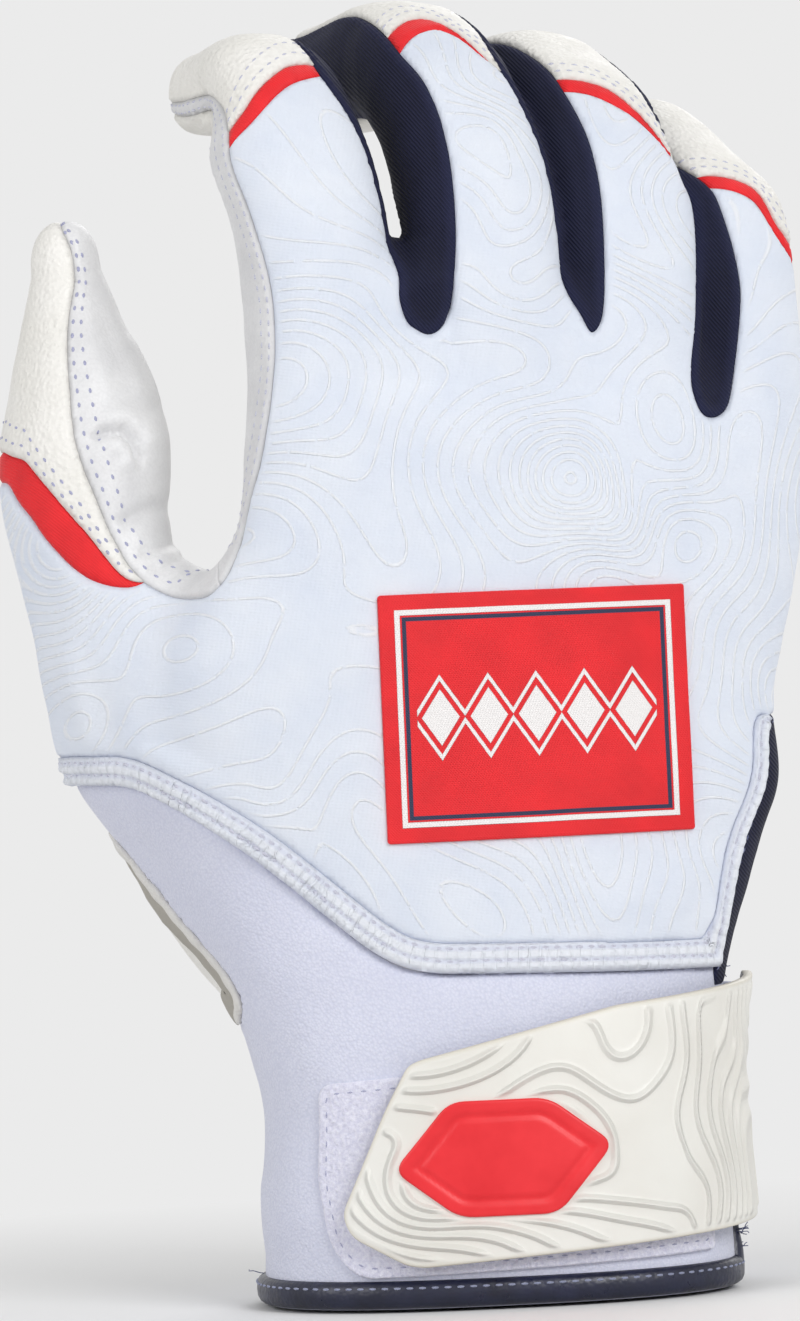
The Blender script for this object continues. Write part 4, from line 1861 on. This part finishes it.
start, end = ANCHOR_START, np.interp(6.0, ROUND_POINTS[PALM_SIDE, 0], ROUND_PLACES[PALM_SIDE])
low, high = 13.75, 49.75
anchor_outline = rounded_outline([(start, low), (end, low), (end, high), (start, high)], [1, 3, 3, 1])
anchor = Patch("anchor_band", anchor_outline, wrist, 1.6, 4.5, 1.0, 0.9)
finish(anchor.obj, "neoprene", "neoprene", "strap_anchor")
stitch_inside("lavender_thread", anchor, 2.2, 2.2, 1.4, 0.45, 0.05)


# ---------------------------------------------------------------- ragged edges and loose threads
def free_threads():
    """Frayed ends: thin strands from a point outwards, in millimetres."""
    rng = np.random.default_rng(4)
    strands = []
    for start, toward, count, reach in FRAYS:
        for _ in range(count):
            p = np.array(start) + rng.normal(0, 0.35, 3)
            d = np.array(toward) + rng.normal(0, 0.45, 3)
            steps = []
            for t in np.linspace(0, 1, 6):
                forward = unit(d) * reach * t * rng.uniform(0.75, 1.1)
                steps.append(p + forward + rng.normal(0, 0.08, 3))
            strands.append(resampled(np.array(steps), 0.3))
    return strands


# Frayed threads: where they start, which way they go, how many and how long.
FRAYS = [
    ((38.6, 2.0, 52.6), (0.9, -0.2, 0.15), 7, 2.0),
    ((40.2, -1.8, 8.5), (0.8, -0.5, 0.4), 8, 2.2),
    ((40.2, -1.0, 6.0), (0.9, -0.4, 0.1), 5, 1.6),
    ((-39.5, 2.0, 4.6), (-0.8, -0.1, 0.6), 2, 3.2),
]
parts, faces, count = [], [], 0
for strand in free_threads():
    normal = np.tile(np.array([0.3, -0.9, 0.2]), (len(strand), 1))
    obj, rings = sweep("strand", strand, normal, 0.16, 0.16, 2, 5)
    parts.append(rings.reshape(-1, 3))
    faces += [[i + count for i in f.vertices] for f in obj.data.polygons]
    count += len(parts[-1])
    bpy.data.objects.remove(obj)
finish(mesh_object("frayed_threads", np.vstack(parts), faces), "navy_thread", "navy_leather")

# The palm leather's ragged edge, seen past the cuff at the thumb's side.
def corner_line(level):
    """The line a distance inside the palm leather's edge, from the welt down to the corner."""
    lines = isolines(palm.outer, palm.n, palm.f, palm.edge, level)
    runs = []
    for points, normals in lines:
        inside = (points[:, 0] < -30) & (points[:, 2] > 48) & (points[:, 2] < 80) & (points[:, 1] < 22)
        if inside.any() and not inside.all():
            turn = -int(np.argmin(inside))
            points, normals, inside = (np.roll(values, turn, axis=0) for values in (points, normals, inside))
        ends = np.flatnonzero(np.diff(np.concatenate([[0], inside, [0]])))
        runs += [(points[a:b], normals[a:b]) for a, b in zip(ends[::2], ends[1::2]) if b - a > 12]
    return max(runs, key=lambda run: len(run[0]))


def evened(points, normals, step=0.6):
    """A line with even, smoothed points and normals, and each point's place along it."""
    along = lengths_along(points)
    even = resampled(points, step)
    places = np.linspace(0, along[-1], len(even))
    turned = np.column_stack([smoothed(column, 3) for column in interpolated(along, normals, places).T])
    return np.column_stack([smoothed(column, 2) for column in even.T]), unit(turned), places


def corner_strip(name, level, lift, width, thick, wave):
    """A wavy strip of leather along the corner's edge."""
    line, normals, along = evened(*corner_line(level))
    side = unit(np.cross(np.gradient(line, axis=0), normals))
    ripple = np.sin(along * 1.15) * 0.6 + np.sin(along * 0.57 + 1) * 0.4
    line = line + normals * (lift + 0.5 * wave * ripple)[:, None] + side * (wave * ripple)[:, None]
    ends = rounded_ends(line, 4)
    return sweep(name, line, normals, (width + wave * ripple) * ends, thick * ends, 2.2, 14)[0]


finish(corner_strip("palm_lip", 0.25, 0.45, 2.3, 1.4, 0.45), "lip", "pebbled_leather")
finish(corner_strip("palm_suede", 3.3, 0.3, 5.2, 0.9, 0.25), "suede", "pebbled_leather")

for kind, (vertices, faces) in STITCHES.items():
    finish(mesh_object("stitches_" + kind, vertices, faces), kind, "back_cloth")

# ---------------------------------------------------------------- studio
BACKDROP = srgb(235, 235, 235)


def area_light(name, place, height, size, power):
    """A square lamp that looks at the glove's axis at a height, all in metres."""
    data = bpy.data.lights.new(name, "AREA")
    data.shape = "RECTANGLE"
    data.size = data.size_y = size
    data.energy = power
    obj = bpy.data.objects.new(name, data)
    turn = (Vector(place) - Vector((0, 0, height))).to_track_quat("Z", "Y").to_matrix()
    obj.matrix_world = Matrix.Translation(Vector(place)) @ turn.to_4x4()
    bpy.context.scene.collection.objects.link(obj)


def studio():
    """Soft lamps, and a pale world that the camera, metal and glass see brighter than it shines."""
    scene = bpy.context.scene
    scene.view_settings.view_transform = "Standard"
    world = scene.world = scene.world or bpy.data.worlds.new("studio")
    world.use_nodes = True
    nodes, links = world.node_tree.nodes, world.node_tree.links
    nodes.clear()
    rays = nodes.new("ShaderNodeLightPath")
    seen = rays.outputs["Is Camera Ray"]
    for kind in ("Is Transmission Ray", "Is Glossy Ray"):
        node = nodes.new("ShaderNodeMath")
        node.operation = "MAXIMUM"
        links.new(seen, node.inputs[0])
        links.new(rays.outputs[kind], node.inputs[1])
        seen = node.outputs[0]
    mix, out = nodes.new("ShaderNodeMixShader"), nodes.new("ShaderNodeOutputWorld")
    links.new(seen, mix.inputs[0])
    for i, (colour, strength) in enumerate((((1, 1, 1), 0.5), (BACKDROP, 1))):
        node = nodes.new("ShaderNodeBackground")
        node.inputs["Color"].default_value = (*colour, 1)
        node.inputs["Strength"].default_value = strength
        links.new(node.outputs[0], mix.inputs[1 + i])
    links.new(mix.outputs[0], out.inputs["Surface"])
    area_light("key", (0.75, -1.15, 0.85), 0.12, 0.7, 11.5)
    area_light("fill", (-1.1, -0.9, 0.7), 0.12, 0.9, 6.5)
    area_light("back", (0.4, 1.1, 0.9), 0.11, 0.8, 4)


def add_floor(radius=1500, drop=0.6, sides=64):
    turn = np.linspace(0, 2 * math.pi, sides + 1)[:-1]
    vertices = [(radius * math.cos(a), radius * math.sin(a), -drop) for a in turn]
    floor = mesh_object("floor", vertices, [tuple(range(sides))], False)
    s = Shader("floor", BACKDROP, 0.9)
    s.surface.inputs["Specular IOR Level"].default_value = 0.1
    from_middle = s.node("ShaderNodeVectorMath", operation="LENGTH")
    s.links.new(s.place, from_middle.inputs[0])
    rays = s.node("ShaderNodeLightPath")
    far = s.ramp(from_middle.outputs["Value"], 0.07, 0.24)
    share = s.maths("MULTIPLY", far, rays.outputs["Is Camera Ray"])
    glow = s.node("ShaderNodeEmission")
    glow.inputs["Color"].default_value = (*BACKDROP, 1)
    mix = s.node("ShaderNodeMixShader")
    for i, value in enumerate((share, s.surface.outputs[0], glow.outputs[0])):
        s.links.new(value, mix.inputs[i])
    s.links.new(mix.outputs[0], s.nodes["Material Output"].inputs["Surface"])
    floor.data.materials.append(s.material)


studio()
add_floor()
